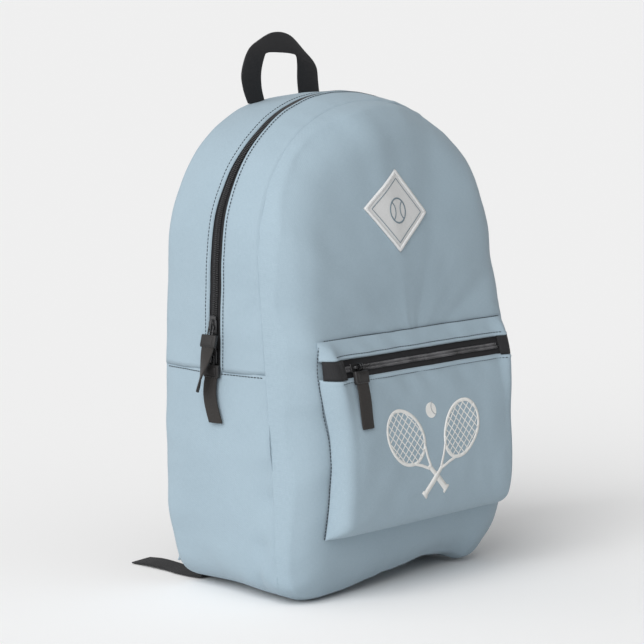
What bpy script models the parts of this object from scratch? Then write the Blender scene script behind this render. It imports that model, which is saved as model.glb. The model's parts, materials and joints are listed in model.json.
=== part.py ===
"""A printed day backpack for racket sports, in metres, +Z up.

The origin is the centre of the base where it meets the floor. -Y is the front with
the pocket, +Y is the back with the shoulder straps and +X is the wearer's right. The
main zip's sliders are parked on the -X side.
"""

import math

import bmesh
import bpy
import numpy as np
from mathutils import Matrix, Vector

# ---------------------------------------------------------------- driving dimensions
BAG_WIDTH = 0.296  # across the two seams
BAG_HEIGHT = 0.424  # of the seams; the crown of the side strip adds to it
ARCH_HEIGHT = 0.139  # height of the curved top
ARCH_POWER = 2.1  # 2 is an ellipse, more is squarer
CORNER_RADIUS = 0.050  # bottom corners
BACK_Y = 0.060  # seam of the back panel
FRONT_Y_BASE = 0.075  # seam of the front panel at the floor
FRONT_Y_TOP = 0.040  # the same at the top
FRONT_TAPER_HEIGHT = 0.400  # the front seam leans back up to here
CROWN = 0.007  # how far the side strip bulges between its seams
CROWN_FROM = 0.030  # the bulge starts at this height
CROWN_SPAN = 0.120  # and is full this much higher
CLOTH = 0.0016  # outer cloth with its lining
GAP = 0.0004  # clearance between pieces that touch
PANEL_BULGE = 0.037  # front panel in front of its seam
PANEL_BULGE_AT_FLOOR = 0.55  # share of that at the floor
PANEL_FULL_HEIGHT = 0.150  # the bulge is full from here up to the pocket's top
PANEL_TAPER = 0.078  # loss of bulge per metre above the pocket
PANEL_EDGE = 0.045  # width of the rounded rim of the front panel
PANEL_RIM = 0.8  # lower is a squarer rim

ZIP_END_Z = 0.199  # the seam where both ends of the main zip stop
FOLD_Z = 0.252  # the open front folds forward here
ZIP_Y = -0.004  # the main zip runs a little in front of the strip's middle
ZIP_OPENING = 0.0126  # between the folded cloth edges of the main zip
POCKET_ZIP_OPENING = 0.0150
COIL_WIDTH = 0.0030  # one half of the coil
COIL_HEIGHT = 0.0020
CHAIN_GAP = 0.0014  # between the two halves, where the slider's neck passes
TAPE_WIDTH = 0.0155
TAPE_THICKNESS = 0.0006
STATION = 0.0175  # every layer of the side strip has its points at the same distances

POCKET_HALF_WIDTH = BAG_WIDTH / 2 - 0.031
POCKET_BOTTOM = 0.058
POCKET_TOP = 0.2280
POCKET_ZIP_Z = 0.2040
POCKET_DEPTH = 0.021
POCKET_SWELL = 0.046  # the pocket reaches two thirds of its depth this far below its top
POCKET_HEM = 0.027  # height of the rounded bottom edge
POCKET_RIM = 0.7  # lower is a squarer edge
POCKET_SQUARE_TOP = 14  # how square the pocket's section is at its mouth
POCKET_SQUARE_RISE = 8  # and how much squarer at its bottom
POCKET_SQUARE_FROM = 0.150  # the change starts at this height
POCKET_SQUARE_SPAN = 0.090  # and is complete this much lower
POCKET_HEM_POWER = 5  # how late the bottom edge turns in
POCKET_LEFT_TAB = 0.010
POCKET_RIGHT_TAB = 0.010
POCKET_TAPE_WIDTH = 0.0120
POCKET_ZIP_INSET = 0.009  # the zip's ends stay this far inside the pocket's sides

SLIDER_LENGTH = 0.016
SLIDER_WIDTH = 0.0090
PLATE = 0.0012
NECK_WIDTH = 0.0008
NECK_SHARE = 0.7  # of the slider's length
POST_SHARE = 0.9  # of the bridge bar's thickness and width
EYE_HEIGHT = 0.0030  # free height under the slider's bridge
BRIDGE_WIDTH = 0.0024
BRIDGE_REACH = 0.0036  # from the slider's middle to each post
UPPER_SLIDER_Z = 0.2385
LOWER_SLIDER_Z = 0.2130
POCKET_SLIDER_INSET = 0.0110  # the parked slider's middle is its own length beyond this
RING_OUTER = 0.0032
RING_INNER = 0.0020
RING_WIDTH = 0.0044
LINK_BAR = 0.0016
LINK_WINDOW = 0.0064
LINK_WIDTH = 0.0068
LINK_TONGUE = 0.0060
LINK_END_BAR = 0.0020  # between the window and the tongue
LINK_THICKNESS = 0.0014
BINDER_WIDTH = 0.0172
BINDER_LENGTH = 0.0110
BINDER_THICKNESS = 0.0040
BINDER_SLOT = 0.0022
PULL_TAPE_WIDTH = 0.0145
PULL_TAPE_LENGTH = 0.042
PULL_TAPE_THICKNESS = 0.0014
TAPE_IN_BINDER = 0.0035
UPPER_PULL_TILT = math.radians(14)  # it leans on the lower slider
POCKET_PULL_TILT = math.radians(11)  # it leans on the pocket's bulge

WEBBING_WIDTH = 0.025
WEBBING = 0.0014
LOOP_HEIGHT = 0.058
LOOP_HALF_SPAN = 0.036
LOOP_CORNER = 0.018
LOOP_Y = 0.054
BACK_PAD = 0.006
BACK_BULGE = 0.003
STRAP_TOP_Z = BAG_HEIGHT - 0.036
STRAP_TOP_X = 0.036
STRAP_END_X = 0.083
STRAP_END_Z = 0.158
STRAP_BOW = 0.030  # how far the strap stands off the back at its middle
STRAP_HALF_WIDTHS = (0.0235, 0.029, 0.030, 0.028, 0.020)
STRAP_SHAPE = (  # shares of the strap's drop, of its way out and of its bow
    (0.0, 0.0, 0.0),
    (0.17, 0.28, 0.45),
    (0.42, 0.65, 1.0),
    (0.72, 0.90, 0.85),
    (1.0, 1.0, 0.1),
)
STRAP_PAD = 0.010
YOKE_HALF_WIDTH = 0.058
YOKE_HEIGHT = 0.016
LOCK_WIDTH = 0.034
LOCK_LENGTH = 0.030
LOCK_THICKNESS = 0.0036
LOCK_BAR = 0.0040
LOCK_DROP = 0.0035  # from the padded strap's end down to the lock
ANCHOR_X = BAG_WIDTH / 2 - 0.040
ANCHOR_Z = 0.034
ANCHOR_SIZE = 0.036
TAIL_REACH = 0.155  # how far behind the origin the tail on the floor ends
TAIL_BEND = 0.022  # from the lock's plane back to where the tail meets the floor
TAIL_SWAY = 0.004  # how far a hanging tail stands off the lower webbing
RIGHT_TAIL_LENGTH = 0.110
LOWER_WEBBING_SLACK = 0.006
SLEEVE_HALF_WIDTH = BAG_WIDTH / 2 - 0.0198 - 2 * CLOTH
SLEEVE_BOTTOM = 0.0108 + 2 * CLOTH
SLEEVE_TOP = BAG_HEIGHT - 0.154
SLEEVE_DEPTH = 0.013
SLEEVE_RIM = 0.012  # width of the sewn edge where the sleeve closes on the back
SLEEVE_BINDING = 0.006  # height of the bound top edge
PATCH_HALF_WIDTH = 0.041
PATCH_HALF_HEIGHT = 0.0355
PATCH_Z = BAG_HEIGHT - 0.0925
PATCH_TURN = math.radians(-6)
PATCH_THICKNESS = 0.0008
BINDING_WIDTH = 0.007
BINDING_THICKNESS = 0.0022
BINDING_INSET = 0.0020  # from the seam to the binding

# ------------------------------------------------------------------- materials
CLOTH_BLUE = ("cloth_blue", (0.43, 0.57, 0.63), 0.85, 0.0)
WEBBING_BLACK = ("webbing_black", (0.012, 0.012, 0.013), 0.80, 0.0)
TAPE_BLACK = ("zip_tape_black", (0.015, 0.015, 0.017), 0.75, 0.0)
COIL_BLACK = ("coil_black", (0.020, 0.020, 0.022), 0.35, 0.0)
METAL_BLACK = ("metal_black", (0.030, 0.030, 0.032), 0.30, 0.8)
RUBBER_BLACK = ("rubber_black", (0.016, 0.016, 0.017), 0.55, 0.0)
BUCKLE_BLACK = ("buckle_black", (0.018, 0.018, 0.019), 0.40, 0.0)
PAD_BLACK = ("pad_black", (0.020, 0.020, 0.022), 0.90, 0.0)
PATCH_GREY = ("patch_grey", (0.62, 0.62, 0.62), 0.85, 0.0)
LINING_GREY = ("lining_grey", (0.16, 0.17, 0.18), 0.85, 0.0)


def material(finish):
    """The Principled material of one finish, made once."""
    name, colour, roughness, metallic = finish
    made = bpy.data.materials.get(name)
    if made is None:
        made = bpy.data.materials.new(name)
        made.use_nodes = True
        shader = made.node_tree.nodes["Principled BSDF"]
        shader.inputs["Base Color"].default_value = (*colour, 1.0)
        shader.inputs["Roughness"].default_value = roughness
        shader.inputs["Metallic"].default_value = metallic
    return made


def place(name, bm, finish, pivot=None):
    """Turns a bmesh in world coordinates into a named object, under its pivot if it moves."""
    mesh = bpy.data.meshes.new(name)
    bm.to_mesh(mesh)
    bm.free()
    mesh.materials.append(material(finish))
    obj = bpy.data.objects.new(name, mesh)
    bpy.context.scene.collection.objects.link(obj)
    if pivot is not None:
        obj.parent = pivot
        obj.matrix_parent_inverse = Matrix.Translation(-pivot.location)
    return obj


def pivot_at(name, location):
    """An empty on a joint's axis."""
    empty = bpy.data.objects.new(name, None)
    empty.location = location
    bpy.context.scene.collection.objects.link(empty)
    return empty


def thicken(obj, thickness, offset=-1.0):
    """Gives a sheet its wall. Offset -1 keeps the sheet as the outer face."""
    wall = obj.modifiers.new("wall", "SOLIDIFY")
    wall.thickness = thickness
    wall.offset = offset
    wall.use_even_offset = True
    return obj


def mapped_grid(columns, rows, point_at, merge=False):
    """A grid whose vertex at (u, v), each from 0 to 1, is moved to point_at(u, v)."""
    bm = bmesh.new()
    bmesh.ops.create_grid(bm, x_segments=columns, y_segments=rows, size=0.5)
    for vert in bm.verts:
        vert.co = point_at(vert.co.x + 0.5, vert.co.y + 0.5)
    if merge:
        bmesh.ops.remove_doubles(bm, verts=bm.verts, dist=1e-5)
    return bm


def smooth_step(value):
    value = min(max(value, 0.0), 1.0)
    return value * value * (3 - 2 * value)


# ------------------------------------------------------------------ the bag's shape
def half_outline(samples=240):
    """The right half of the bag's outline in the XZ plane, from the base's middle up."""
    half, r = BAG_WIDTH / 2, CORNER_RADIUS
    arch_z = BAG_HEIGHT - ARCH_HEIGHT
    points = [(0.0, 0.0), (half - r, 0.0)]
    for i in range(1, samples // 4):
        angle = math.pi / 2 * i / (samples // 4)
        points.append((half - r + r * math.sin(angle), r - r * math.cos(angle)))
    points.append((half, r))
    points.append((half, arch_z))
    for i in range(1, samples):
        angle = math.pi / 2 * i / samples
        x = half * math.cos(angle) ** (2 / ARCH_POWER)
        z = arch_z + ARCH_HEIGHT * math.sin(angle) ** (2 / ARCH_POWER)
        points.append((x, z))
    points.append((0.0, BAG_HEIGHT))
    return np.array(points)


OUTLINE = half_outline()
OUTLINE_AT = np.concatenate([[0.0], np.cumsum(np.linalg.norm(np.diff(OUTLINE, axis=0), axis=1))])
HALF_LENGTH = float(OUTLINE_AT[-1])


def rim_distance(z):
    """How far along the half outline the straight side reaches the height z."""
    corner = BAG_WIDTH / 2 - CORNER_RADIUS + math.pi / 2 * CORNER_RADIUS
    return corner + z - CORNER_RADIUS


def rim(distance):
    """(x, z, outward x, outward z) at a distance round the outline from the base's middle."""
    side = 1.0
    if distance < 0:
        side, distance = -1.0, -distance
    if distance > HALF_LENGTH:
        side, distance = -side, 2 * HALF_LENGTH - distance
    step = 0.002
    x, z = (float(np.interp(distance, OUTLINE_AT, OUTLINE[:, k])) for k in (0, 1))
    before, after = max(distance - step, 0.0), min(distance + step, HALF_LENGTH)
    dx, dz = (
        float(np.interp(after, OUTLINE_AT, OUTLINE[:, k]))
        - float(np.interp(before, OUTLINE_AT, OUTLINE[:, k]))
        for k in (0, 1)
    )
    length = math.hypot(dx, dz)
    return side * x, z, side * dz / length, -dx / length


def front_y(z):
    """The front panel's seam leans back as it rises."""
    share = min(max(z / FRONT_TAPER_HEIGHT, 0.0), 1.0)
    return -(FRONT_Y_BASE + (FRONT_Y_TOP - FRONT_Y_BASE) * share)


def crown_at(y, z):
    """How far the side strip stands out from the outline."""
    edge = BACK_Y if y > 0 else front_y(z)
    full = CROWN * smooth_step((z - CROWN_FROM) / CROWN_SPAN)
    return full * (1 - min(abs(y / edge), 1.0) ** 2)


def strip_point(distance, y, depth=0.0):
    """A point on the side strip, at a depth under its outer face."""
    x, z, out_x, out_z = rim(distance)
    rise = crown_at(y, z) - depth
    return Vector((x + rise * out_x, y, z + rise * out_z))


def inside_distance(x, z):
    """How far a point of the front lies inside the outline."""
    steps = OUTLINE[1:] - OUTLINE[:-1]
    to_point = np.array([abs(x), z]) - OUTLINE[:-1]
    share = np.clip((to_point * steps).sum(1) / (steps**2).sum(1), 0, 1)
    return float(np.linalg.norm(to_point - steps * share[:, None], axis=1).min())


def panel_y(x, z):
    """The outer face of the front panel."""
    share = min(inside_distance(x, z) / PANEL_EDGE, 1.0)
    rounded = (1 - (1 - share) ** 3) ** PANEL_RIM
    low = PANEL_BULGE_AT_FLOOR
    full = PANEL_BULGE * (low + (1 - low) * smooth_step(z / PANEL_FULL_HEIGHT))
    full -= PANEL_TAPER * max(z - POCKET_TOP, 0.0)
    return front_y(z) - GAP - CLOTH - full * rounded


def pocket_lift(x, z):
    """How far the pocket's outer face stands in front of the front panel."""
    across = min(abs(x) / POCKET_HALF_WIDTH, 1.0)
    squareness = POCKET_SQUARE_TOP + POCKET_SQUARE_RISE * smooth_step(
        (POCKET_SQUARE_FROM - z) / POCKET_SQUARE_SPAN
    )
    sides = max(1 - across**squareness, 0.0) ** POCKET_RIM
    swell = 1 - math.exp(-max(POCKET_TOP - z, 0.0) / POCKET_SWELL)
    hem = max(POCKET_BOTTOM + POCKET_HEM - z, 0.0) / POCKET_HEM
    bottom = max(1 - hem**POCKET_HEM_POWER, 0.0) ** POCKET_RIM
    return GAP + CLOTH + POCKET_DEPTH * swell * sides * bottom


def pocket_up(x, z):
    """The direction up the pocket's face."""
    step = COIL_WIDTH
    above, below = (panel_y(x, z + k) - pocket_lift(x, z + k) for k in (step, -step))
    return Vector((0, above - below, 2 * step)).normalized()


def pocket_point(x, z, depth=0.0):
    """A point of the pocket's outer face, or at a depth square under it."""
    outward = Vector((1, 0, 0)).cross(pocket_up(x, z))
    return Vector((x, panel_y(x, z) - pocket_lift(x, z), z)) - outward * depth


# ------------------------------------------------------------------ the cloth shell
ARCH_START = rim_distance(ZIP_END_Z)
ARCH_END = 2 * HALF_LENGTH - ARCH_START
FOLD_START = rim_distance(FOLD_Z)
FOLD_END = 2 * HALF_LENGTH - FOLD_START
EDGE = GAP / 2  # half of the gap between two strips that meet


def stations(start, end):
    """The ends of a length of strip and the shared distances between them, mirrored past the top."""
    most = math.floor(HALF_LENGTH / STATION - 0.25)
    rising = [k * STATION for k in range(-most, most + 1)]
    shared = rising + [2 * HALF_LENGTH - at for at in reversed(rising)]
    return [start, *[at for at in shared if start + STATION / 4 < at < end - STATION / 4], end]


def strip_piece(name, start, end, y_from, y_to, finish, depth=0.0, wall=CLOTH, rows=4, pivot=None):
    """A length of the side strip between two edges, which may follow the front seam."""
    places = stations(start, end)
    columns = len(places) - 1

    def point(u, v):
        distance = places[round(u * columns)]
        z = rim(distance)[1]
        low = y_from(z) if callable(y_from) else y_from
        high = y_to(z) if callable(y_to) else y_to
        return strip_point(distance, low + (high - low) * v, depth)

    bm = mapped_grid(columns, rows, point)
    bmesh.ops.recalc_face_normals(bm, faces=bm.faces)
    turn_out(bm)
    return thicken(place(name, bm, finish, pivot), wall)


def turn_out(bm, centre=(0.0, 0.0, 0.22)):
    """Points an open sheet's faces away from the bag's middle."""
    middle = Vector(centre)
    bm.normal_update()
    outward = sum(f.normal.dot(f.calc_center_median() - middle) * f.calc_area() for f in bm.faces)
    if outward < 0:
        bmesh.ops.reverse_faces(bm, faces=bm.faces)


def front_edge(z):
    return front_y(z) + EDGE


def make_side_strips(flap):
    behind = ZIP_Y + ZIP_OPENING / 2
    before = ZIP_Y - ZIP_OPENING / 2
    strip_piece("base_gusset", -ARCH_START + EDGE, ARCH_START - EDGE, front_edge, BACK_Y - EDGE,
                CLOTH_BLUE, rows=6)
    strip_piece("rear_strip", ARCH_START + EDGE, ARCH_END - EDGE, behind, BACK_Y - EDGE, CLOTH_BLUE)
    strip_piece("front_strip_right", ARCH_START + EDGE, FOLD_START - EDGE, front_edge, before,
                CLOTH_BLUE)
    strip_piece("front_strip_left", FOLD_END + EDGE, ARCH_END - EDGE, front_edge, before, CLOTH_BLUE)
    strip_piece("front_strip_top", FOLD_START + EDGE, FOLD_END - EDGE, front_edge, before,
                CLOTH_BLUE, pivot=flap)


def make_main_zip(flap):
    """Tape under the cloth edges and half a coil on each side of the slider's neck."""
    near, tape_far, coil_far = CHAIN_GAP / 2, CHAIN_GAP / 2 + TAPE_WIDTH, CHAIN_GAP / 2 + COIL_WIDTH
    under = CLOTH + GAP
    lengths = (
        ("rear", 1, ARCH_START + 2 * GAP, ARCH_END - 2 * GAP, None),
        ("front_right", -1, ARCH_START + 2 * GAP, FOLD_START - EDGE, None),
        ("front_left", -1, FOLD_END + EDGE, ARCH_END - 2 * GAP, None),
        ("front_top", -1, FOLD_START + EDGE, FOLD_END - EDGE, flap),
    )
    for label, side, start, end, pivot in lengths:
        low, high = sorted((ZIP_Y + side * near, ZIP_Y + side * tape_far))
        strip_piece(f"main_zip_tape_{label}", start, end, low, high, TAPE_BLACK, under,
                    TAPE_THICKNESS, 2, pivot)
        low, high = sorted((ZIP_Y + side * near, ZIP_Y + side * coil_far))
        strip_piece(f"main_zip_coil_{label}", start, end, low, high, COIL_BLACK,
                    under - GAP - COIL_HEIGHT, COIL_HEIGHT, 2, pivot)


def make_seam_bindings(flap):
    """Black tape bound round the raw seams inside the bag."""
    under, inset = CLOTH + GAP, BINDING_INSET

    def near(z):
        return front_y(z) + inset

    def far(z):
        return front_y(z) + inset + BINDING_WIDTH

    strip_piece("rear_seam_binding", GAP, 2 * HALF_LENGTH - GAP, BACK_Y - inset - BINDING_WIDTH,
                BACK_Y - inset, TAPE_BLACK, under, BINDING_THICKNESS, 1)
    strip_piece("front_seam_binding_lower", -FOLD_START + EDGE, FOLD_START - EDGE, near, far,
                TAPE_BLACK, under, BINDING_THICKNESS, 1)
    strip_piece("front_seam_binding_upper", FOLD_START + EDGE, FOLD_END - EDGE, near, far,
                TAPE_BLACK, under, BINDING_THICKNESS, 1, flap)


PANEL_RINGS = (1.0, 0.985, 0.955, 0.915, 0.86, 0.78, 0.66, 0.48, 0.25, 0.0)
PANEL_MIDDLE_Z = 0.200


def panel_disc(face_y, spokes=72):
    """The whole outline as a sheet of rings round its middle."""
    rings = len(PANEL_RINGS) - 1

    def point(u, v):
        scale = PANEL_RINGS[round(u * rings)]
        x, z, _, _ = rim(v * 2 * HALF_LENGTH)
        x, z = x * scale, PANEL_MIDDLE_Z + (z - PANEL_MIDDLE_Z) * scale
        return Vector((x, face_y(x, z), z))

    bm = mapped_grid(rings, spokes, point, merge=True)
    bmesh.ops.recalc_face_normals(bm, faces=bm.faces)
    return bm


def make_front_panel(flap):
    """One sewn panel, cut at the fold because its top part swings forward."""
    for name, keep_above, pivot in (("front_panel_lower", False, None), ("front_panel_upper", True, flap)):
        bm = panel_disc(panel_y)
        cut = Vector((0, 0, FOLD_Z + (EDGE if keep_above else -EDGE)))
        bmesh.ops.bisect_plane(bm, geom=bm.verts[:] + bm.edges[:] + bm.faces[:], plane_co=cut,
                               plane_no=(0, 0, 1), clear_inner=keep_above, clear_outer=not keep_above)
        turn_out(bm)
        thicken(place(name, bm, CLOTH_BLUE, pivot), CLOTH)


def make_back_panel():
    def face_y(x, z):
        return BACK_Y + GAP + BACK_PAD + BACK_BULGE * min(inside_distance(x, z) / PANEL_EDGE, 1.0)

    bm = panel_disc(face_y, spokes=48)
    turn_out(bm)
    thicken(place("back_panel", bm, PAD_BLACK), BACK_PAD)


def make_sleeve():
    """A flat sleeve inside the back panel, open at its top."""
    y_far, y_near = BACK_Y - EDGE, BACK_Y - SLEEVE_DEPTH
    low_z, inset = SLEEVE_BOTTOM, SLEEVE_RIM

    def point(u, v):
        x = SLEEVE_HALF_WIDTH * (2 * u - 1)
        z = low_z + (SLEEVE_TOP - low_z) * v
        side = min((SLEEVE_HALF_WIDTH - abs(x)) / inset, (z - low_z) / inset, 1.0)
        return Vector((x, y_far - (y_far - y_near) * smooth_step(side), z))

    bm = mapped_grid(24, 20, point)
    bmesh.ops.recalc_face_normals(bm, faces=bm.faces)
    turn_out(bm, (0, 1, 0.2))
    obj = place("laptop_sleeve", bm, LINING_GREY)
    thicken(obj, CLOTH, 1.0)
    half, over = SLEEVE_HALF_WIDTH - inset - CLOTH, TAPE_THICKNESS
    top = box_mesh((-half, y_near - CLOTH - over, SLEEVE_TOP + GAP),
                   (half, y_near + over, SLEEVE_TOP + GAP + SLEEVE_BINDING))
    place("sleeve_binding", top, TAPE_BLACK)


def box_mesh(low, high):
    bm = bmesh.new()
    size = [b - a for a, b in zip(low, high)]
    centre = [(a + b) / 2 for a, b in zip(low, high)]
    bmesh.ops.create_cube(bm, size=1.0, matrix=Matrix.Translation(centre) @ Matrix.Diagonal((*size, 1)))
    return bm


# ------------------------------------------------------------------ front pocket
def pocket_piece(name, z_from, z_to, x_from, x_to, finish, depth=0.0, wall=CLOTH, columns=28, rows=3):
    """A patch of the pocket's face, finer towards its sides and towards z_from."""
    middle, half = (x_from + x_to) / 2, (x_to - x_from) / 2

    def point(u, v):
        x = middle + half * math.sin(math.pi * (u - 0.5))
        z = z_from + (z_to - z_from) * (1 - math.cos(math.pi / 2 * v))
        return pocket_point(x, z, depth)

    bm = mapped_grid(columns, rows, point)
    bmesh.ops.recalc_face_normals(bm, faces=bm.faces)
    turn_out(bm, (0, 0.1, (z_from + z_to) / 2))
    return thicken(place(name, bm, finish), wall)


def make_pocket():
    side, opening = POCKET_HALF_WIDTH, POCKET_ZIP_OPENING / 2
    pocket_piece("pocket_panel", POCKET_BOTTOM, POCKET_ZIP_Z - opening, -side, side, CLOTH_BLUE,
                 columns=36, rows=18)
    pocket_piece("pocket_top_strip", POCKET_TOP, POCKET_ZIP_Z + opening, -side, side, CLOTH_BLUE,
                 rows=4)
    end = side - POCKET_ZIP_INSET
    near, under = CHAIN_GAP / 2, CLOTH + GAP
    for label, up in (("upper", 1), ("lower", -1)):
        pocket_piece(f"pocket_zip_tape_{label}", POCKET_ZIP_Z + up * near,
                     POCKET_ZIP_Z + up * (near + POCKET_TAPE_WIDTH), -end, end, TAPE_BLACK, under,
                     TAPE_THICKNESS, 28, 2)
        pocket_piece(f"pocket_zip_coil_{label}", POCKET_ZIP_Z + up * near,
                     POCKET_ZIP_Z + up * (near + COIL_WIDTH), -end + POCKET_LEFT_TAB + GAP,
                     end - POCKET_RIGHT_TAB - GAP, COIL_BLACK, under - GAP - COIL_HEIGHT,
                     COIL_HEIGHT, 20, 1)
    tab = opening - GAP
    for label, x_from, x_to in (
        ("left", -end, -end + POCKET_LEFT_TAB),
        ("right", end - POCKET_RIGHT_TAB, end),
    ):
        pocket_piece(f"pocket_zip_tab_{label}", POCKET_ZIP_Z - tab, POCKET_ZIP_Z + tab, x_from, x_to,
                     TAPE_BLACK, GAP, under - 3 * GAP, 8, 2)


def make_patch(flap):
    cos, sin = math.cos(PATCH_TURN), math.sin(PATCH_TURN)

    def point(u, v):
        across, up = PATCH_HALF_WIDTH * (u - v), PATCH_HALF_HEIGHT * (u + v - 1)
        x, z = across * cos - up * sin, PATCH_Z + across * sin + up * cos
        return Vector((x, panel_y(x, z) - GAP - PATCH_THICKNESS, z))

    bm = mapped_grid(10, 10, point)
    bmesh.ops.recalc_face_normals(bm, faces=bm.faces)
    turn_out(bm)
    thicken(place("front_patch", bm, PATCH_GREY, flap), PATCH_THICKNESS)


# ------------------------------------------------------------------ zip sliders and pulls
def box_at(frame, low, high):
    bm = box_mesh(low, high)
    bmesh.ops.transform(bm, matrix=frame, verts=bm.verts)
    if frame.determinant() < 0:
        bmesh.ops.reverse_faces(bm, faces=bm.faces)
    return bm


def join_solid(obj, other):
    """Makes another object part of this one's body."""
    union = obj.modifiers.new("join", "BOOLEAN")
    union.operation = "UNION"
    union.object = other
    other.hide_render = True
    other.display_type = "WIRE"


def plate_heights():
    """The outward heights of a slider's plates above the cloth: lower from, to, upper from, to."""
    low_top = -(CLOTH + GAP + TAPE_THICKNESS + GAP)
    high_low = COIL_HEIGHT - CLOTH + GAP
    return low_top - PLATE, low_top, high_low, high_low + PLATE


def eye_height():
    """The outward height of the middle of the gap under the bridge."""
    return plate_heights()[3] + EYE_HEIGHT / 2


def bridge_height():
    """The outward height of the middle of the bridge's bar."""
    return plate_heights()[3] + EYE_HEIGHT + PLATE / 2


def make_slider(name, frame, pivot):
    """Two plates, the neck between them and the bridge that carries the pull."""
    low, low_top, high_low, high = plate_heights()
    half_length, half_width = SLIDER_LENGTH / 2, SLIDER_WIDTH / 2
    top = high + EYE_HEIGHT + PLATE
    body = place(name, box_at(frame, (-half_length, -half_width, low),
                              (half_length, half_width, low_top)), METAL_BLACK, pivot)
    reach, thin = BRIDGE_REACH, BRIDGE_WIDTH / 2
    boxes = {
        "neck": ((-half_length * NECK_SHARE, -NECK_WIDTH / 2, low + PLATE / 2),
                 (half_length * NECK_SHARE, NECK_WIDTH / 2, high - PLATE / 2)),
        "top_plate": ((-half_length, -half_width, high_low), (half_length, half_width, high)),
        "bridge_bar": ((-reach - PLATE, -thin, top - PLATE), (reach + PLATE, thin, top)),
        "post_down": ((-reach - PLATE * POST_SHARE, -thin * POST_SHARE, high - PLATE / 2),
                      (-reach, thin * POST_SHARE, top - PLATE / 2)),
        "post_up": ((reach, -thin * POST_SHARE, high - PLATE / 2),
                    (reach + PLATE * POST_SHARE, thin * POST_SHARE, top - PLATE / 2)),
    }
    for label, (corner_a, corner_b) in boxes.items():
        guide = place(f"{name}_{label}_guide", box_at(frame, corner_a, corner_b), METAL_BLACK, pivot)
        join_solid(body, guide)


def pierced_sheet(xs, ys, holes):
    """A flat grid with its lines at xs and ys and some of its cells taken out."""
    bm = bmesh.new()
    columns, rows = len(xs) - 1, len(ys) - 1
    bmesh.ops.create_grid(bm, x_segments=columns, y_segments=rows, size=0.5)
    for vert in bm.verts:
        column, row = round((vert.co.x + 0.5) * columns), round((vert.co.y + 0.5) * rows)
        vert.co = (xs[column], ys[row], 0.0)
    middles = [((xs[i] + xs[i + 1]) / 2, (ys[j] + ys[j + 1]) / 2) for i, j in holes]
    taken = [
        face for face in bm.faces
        if any((face.calc_center_median().xy - Vector(middle)).length < 1e-5 for middle in middles)
    ]
    bmesh.ops.delete(bm, geom=taken, context="FACES")
    return bm


def both_ways(*distances):
    """Distances mirrored about zero, in rising order."""
    return [-d for d in reversed(distances)] + list(distances)


def make_pull(name, frame, pivot, window_link):
    """A link, a moulded binder and a short tape. In the frame +X is down the pull, +Z outward."""
    if window_link:
        link_xs = [-LINK_BAR / 2, LINK_BAR / 2, LINK_WINDOW, LINK_WINDOW + LINK_END_BAR + LINK_TONGUE]
        bm = pierced_sheet(link_xs, both_ways(BRIDGE_WIDTH / 2 + GAP, LINK_WIDTH / 2), [(1, 1)])
        bmesh.ops.transform(bm, matrix=frame, verts=bm.verts)
        thicken(place(f"{name}_link", bm, METAL_BLACK, pivot), LINK_THICKNESS, 0.0)
        start = SLIDER_LENGTH / 2 + GAP
    else:
        bm = bmesh.new()
        bmesh.ops.create_circle(bm, cap_ends=True, segments=24, radius=RING_OUTER)
        bmesh.ops.inset_individual(bm, faces=bm.faces[:], thickness=RING_OUTER - RING_INNER)
        inner = min(bm.faces, key=lambda face: face.calc_center_median().length)
        bmesh.ops.delete(bm, geom=[inner], context="FACES")
        upright = Matrix.Rotation(math.pi / 2, 4, "X")
        bmesh.ops.transform(bm, matrix=frame @ upright, verts=bm.verts)
        thicken(place(f"{name}_ring", bm, METAL_BLACK, pivot), RING_WIDTH, 0.0)
        start = RING_OUTER + GAP
    slot_width = PULL_TAPE_WIDTH / 2 + GAP
    bm = pierced_sheet(both_ways(BINDER_SLOT / 2, BINDER_THICKNESS / 2),
                       both_ways(slot_width, BINDER_WIDTH / 2), [(1, 1)])
    lengthwise = Matrix.Rotation(math.pi / 2, 4, "Y")
    along = Matrix.Translation((start + BINDER_LENGTH / 2, 0, 0))
    bmesh.ops.transform(bm, matrix=frame @ along @ lengthwise, verts=bm.verts)
    thicken(place(f"{name}_binder", bm, RUBBER_BLACK, pivot), BINDER_LENGTH, 0.0)
    tape_from = start + BINDER_LENGTH - TAPE_IN_BINDER
    half_width, half_thick = PULL_TAPE_WIDTH / 2, PULL_TAPE_THICKNESS / 2
    tape = box_at(frame, (tape_from, -half_width, -half_thick),
                  (tape_from + PULL_TAPE_LENGTH, half_width, half_thick))
    place(f"{name}_tape", tape, WEBBING_BLACK, pivot)


def axes_frame(origin, first, second, third):
    """The matrix that puts local X, Y and Z along three world directions."""
    frame = Matrix((first, second, third)).transposed().to_4x4()
    frame.translation = origin
    return frame


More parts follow.
